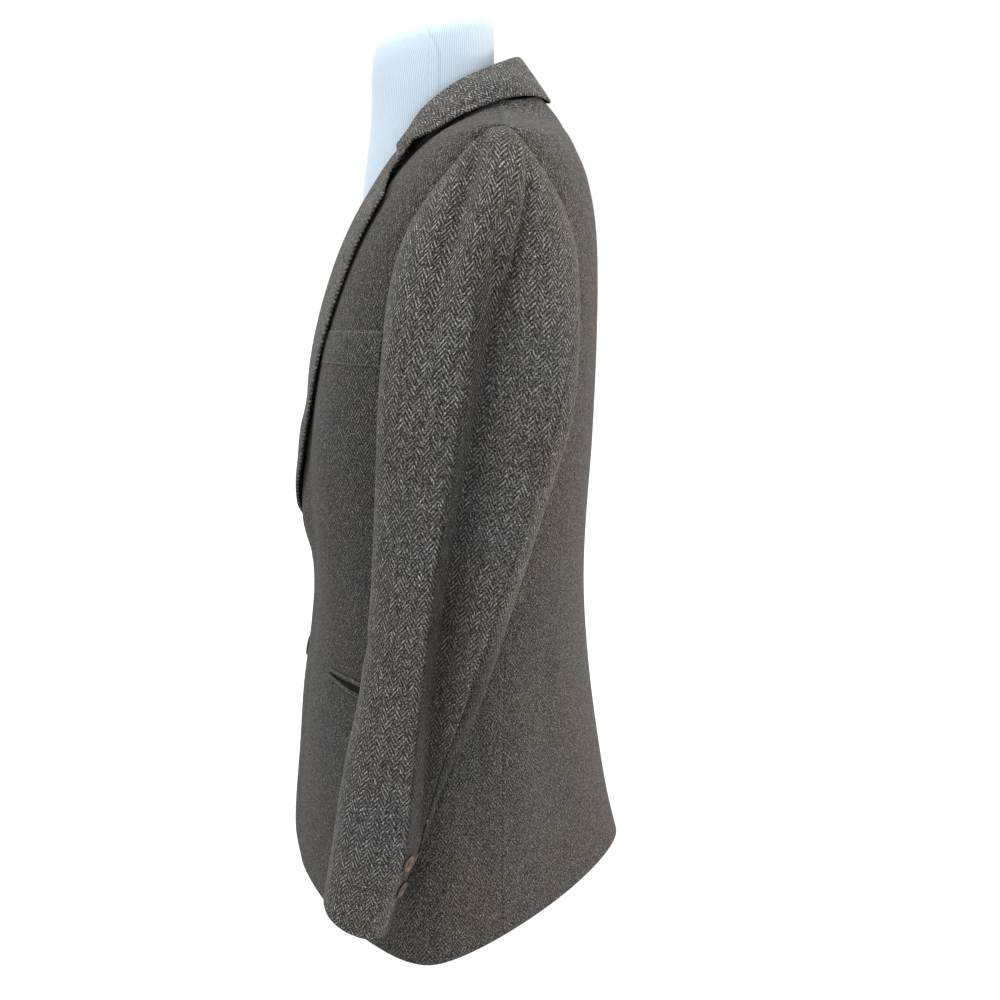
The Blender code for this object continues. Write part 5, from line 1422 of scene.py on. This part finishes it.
def slitRows(strip, row, edge, start, length):  # the two worked sides of a buttonhole
    line, facing = strip[0][row], strip[1][row]
    if edge == "last":
        line, facing = line[::-1], facing[::-1]
    arc = arcLengths(line[None], 1)[0]
    places = np.linspace(start, start + length, 24)
    line, facing = (readAlong(places, arc, values) for values in (line, facing))
    side = unit(np.cross(facing, np.gradient(line, axis=0))) * 0.0006
    return [(line + side * sign + unit(facing) * stitchLift, unit(facing)) for sign in (-1.0, 1.0)]


edgeRows = [alongEdge(strips[name], "last", stitchInset["edge"])
            for name in ("collar", "lapel.left", "lapel.right")]
lowerFront = np.nonzero(strips["front_left"][0][:, 0, 2] < 0.352)[0]
for side, _ in sides:
    below = slice(0, len(lowerFront))    # the lapel covers the edge above
    edgeRows.append(alongEdge(strips["front_" + side], "first", stitchInset["edge"], below))
sewRows("edgeStitches", edgeRows, *stitchSize["edge"], "darkThread")

weltRows = [alongEdge(strips["breastWelt"], edge, stitchInset["welt"])
            for edge in ("low", "high", "first", "last")]
for side, _ in sides:
    weltRows.append(alongEdge(strips["hipJetUpper." + side], "high", stitchInset["jet"]))
    weltRows.append(alongEdge(strips["hipJetLower." + side], "low", stitchInset["jet"]))
sewRows("pocketStitches", weltRows, *stitchSize["pocket"], "paleThread")

holeRows = slitRows(strips["lapel.left"], 96, "last", 0.013, 0.020)
for height in frontButton["heights"]:
    row = int(np.abs(strips["front_left"][0][:, 6, 2] - height).argmin())
    holeRows += slitRows(strips["front_left"], row, "first", 0.015, 0.022)
sewRows("buttonholes", holeRows, *stitchSize["hole"], "darkThread")
print("stitches made")

# Dress form: a torso, and a neck with a rounded top
formRows = np.array([
    (0.000, 0.172, -0.008, -0.126, 0.134, 2.0), (0.060, 0.180, -0.008, -0.132, 0.134, 2.0),
    (0.150, 0.180, -0.006, -0.134, 0.128, 2.0), (0.230, 0.174, -0.003, -0.128, 0.122, 2.0),
    (0.315, 0.168, 0.002, -0.122, 0.1215, 2.0), (0.400, 0.170, 0.007, -0.121, 0.1245, 2.05),
    (0.480, 0.175, 0.013, -0.115, 0.1290, 2.1), (0.560, 0.178, 0.018, -0.101, 0.1310, 2.1),
    (0.620, 0.179, 0.024, -0.082, 0.1290, 2.1), (0.665, 0.181, 0.030, -0.058, 0.1220, 2.05),
    (0.695, 0.180, 0.036, -0.036, 0.1130, 1.9), (0.7120, 0.170, 0.040, -0.018, 0.1040, 1.7),
    (0.7284, 0.145, 0.042, -0.006, 0.0970, 1.5), (0.7393, 0.098, 0.042, -0.002, 0.0900, 1.6),
    (0.7460, 0.052, 0.036, 0.004, 0.0700, 1.8),
])
torsoInset = 0.0012
neckRows = np.array([
    (0.560, -0.034, 0.0520), (0.620, -0.029, 0.0565), (0.680, -0.021, 0.0570), (0.740, -0.0130, 0.0567),
    (0.780, -0.0118, 0.0562), (0.803, -0.0108, 0.0552), (0.8165, -0.0088, 0.0520), (0.8250, -0.0035, 0.0430),
    (0.8285, 0.0010, 0.0300), (0.8292, 0.0020, 0.0150), (0.8293, 0.0020, 0.0005),
])


# depth is the painted shade of the form's cover
def closedRings(name, rings, depth):  # rings x corners x 3, closed round and capped
    rows, corners = rings.shape[:2]
    index = np.arange(rows * corners).reshape(rows, corners)
    around = np.roll(index, -1, axis=1)
    faces = np.stack([index[:-1], around[:-1], around[1:], index[1:]], axis=-1).reshape(-1, 4).tolist()
    faces.append(index[0][::-1].tolist())
    faces.append(index[-1].tolist())
    closed = np.concatenate([rings, rings[:, :1]], axis=1)
    uv = np.stack([arcLengths(closed, 1)[:, :-1], arcLengths(closed, 0)[:, :-1]], axis=-1)
    piece = meshPiece(name, rings.reshape(-1, 3), faces, [finishes["jersey"]], uv.reshape(-1, 2), depth)
    piece.data.set_sharp_from_angle(angle=math.radians(60.0))
    carry(piece, "form_cover", "dress_form")


def formTorso():
    places = np.linspace(0.0, len(formRows) - 1.0, 150)
    straight = np.stack([np.interp(places, np.arange(len(formRows)), column) for column in formRows.T], axis=-1)
    row = mix(straight, rowAt(formRows, places), 0.6)[:, None]
    cosine, sine = cosSin(np.linspace(0.0, 360.0, 144, endpoint=False)[None])
    factor = ringFactor(cosine, sine, row[..., 5])
    depth = np.where(sine > 0.0, row[..., 4] - row[..., 2], row[..., 2] - row[..., 3])
    across = (row[..., 1] - torsoInset) * cosine * factor
    back = row[..., 2] + (depth - torsoInset) * sine * factor
    return np.stack([across, back, row[..., 0] * np.ones_like(cosine)], axis=-1)


def formNeck():
    row = rowAt(neckRows, np.linspace(0.0, len(neckRows) - 1.0, 170))[:, None]
    cosine, sine = cosSin(np.linspace(0.0, 360.0, 240, endpoint=False)[None])
    across, depth = row[..., 2] * cosine, row[..., 2] * sine
    slope = 0.16 * depth * smoothStep(row[..., 0], 0.77, 0.82)
    rings = np.stack([across, row[..., 1] + depth, row[..., 0] + slope], axis=-1)
    # the cover's side seams, running forward over the top
    lean = -0.016 * smoothStep(rings[..., 2], 0.79, 0.832)
    gap = np.abs(rings[..., 1] - (-0.003 + lean))
    groove = bell(gap, 0.0013) * (np.abs(rings[..., 0]) > 0.004)
    outward = unit(rings - np.array([0.0, -0.01, 0.79]))
    rings = rings - unit(outward * np.array([1.0, 1.0, 0.35])) * (groove * 0.0005)[..., None]
    # painted shadow: the part behind the collar is darkened
    hidden = rings[..., 1] - mix(-0.034, -0.008, (rings[..., 2] - 0.712) / 0.033)
    collarShadow = smoothStep(hidden, -0.003, 0.001) * smoothStep(np.abs(rings[..., 0]), 0.040, 0.046)
    collarShadow = collarShadow * (1.0 - smoothStep(rings[..., 2], 0.736, 0.744))
    # painted shade: a faint line along the seam's groove, and the painted shadow behind the collar
    return rings, np.maximum(groove * 0.13, collarShadow)


torsoRings = formTorso()
# painted shadow on the top of the form outside the neckline, where the jacket's fronts cover it
shadowUnderFronts = smoothStep(np.abs(torsoRings[..., 0]), 0.064, 0.070)    # dark where the cloth covers it
closedRings("formTorso", torsoRings, shadowUnderFronts * smoothStep(torsoRings[..., 2], 0.68, 0.70))
closedRings("formNeck", *formNeck())
print("dress form made")

# Floor, light and camera
floorHalf = 6.0


def plainFloor():
    material, tree, shader = newMaterial("paleFloor")
    speck = noise(tree, objectPlace(tree), 30.0, 2.0)
    # a lit sweep, so that its far edge melts into the room
    finishShader(tree, shader, blend(tree, speck, "#7C7C7C", "#828282"), {
        "Roughness": 0.9, "Specular IOR Level": 0.1,
        "Emission Color": (1.0, 1.0, 1.0, 1.0), "Emission Strength": 1.0})
    mesh = bpy.data.meshes.new("floor")
    corners = [(x * floorHalf, y * floorHalf, 0.0) for x, y in ((-1, -1), (1, -1), (1, 1), (-1, 1))]
    mesh.from_pydata(corners, [], [(0, 1, 2, 3)])
    mesh.materials.append(material)
    addObject("floor", mesh)


plainFloor()
world = bpy.data.worlds.new("softRoom")
world.use_nodes = True
backdrop = world.node_tree.nodes["Background"].inputs
backdrop["Color"].default_value, backdrop["Strength"].default_value = (1.0, 1.0, 1.0, 1.0), 1.0
scene.world = world

lamps = {
    "ceiling": {"at": (0.3, -0.2, 2.4), "aim": (0.0, 0.0, 0.6), "size": 1.2, "power": 40.5, "colour": "#FFFFFF"},
    "sideFill": {"at": (1.8, 1.5, 1.2), "aim": (0.1, 0.05, 0.5), "size": 1.4, "power": 12.0, "colour": "#FFFFFF"},
    "warmBack": {"at": (-0.5, 2.1, 0.35), "aim": (0.0, 0.10, 0.25), "size": 0.6, "power": 24.0, "colour": "#FFE6CE"},
}
for name, lamp in lamps.items():
    light = bpy.data.lights.new(name, "AREA")
    light.energy, light.size, light.color = lamp["power"], lamp["size"], linear(lamp["colour"])
    holder = addObject(name, light)
    holder.location = lamp["at"]
    aim = Vector(lamp["aim"]) - Vector(lamp["at"])
    holder.rotation_euler = aim.to_track_quat("-Z", "Y").to_euler()

view = {"at": (1.17, 0.05, 0.67), "down": 14.04, "lens": 43.2}
camera = addObject("camera", bpy.data.cameras.new("camera"))
camera.data.sensor_width, camera.data.lens = 36.0, view["lens"]
camera.location = view["at"]
camera.rotation_euler = (math.radians(90.0 - view["down"]), 0.0, math.radians(90.0))
scene.camera = camera

for piece, width, length, held, restsOn, area in cutPieces:
    print("cut", piece.name, round(width, 3), round(length, 3), round(area / (width * length), 2))
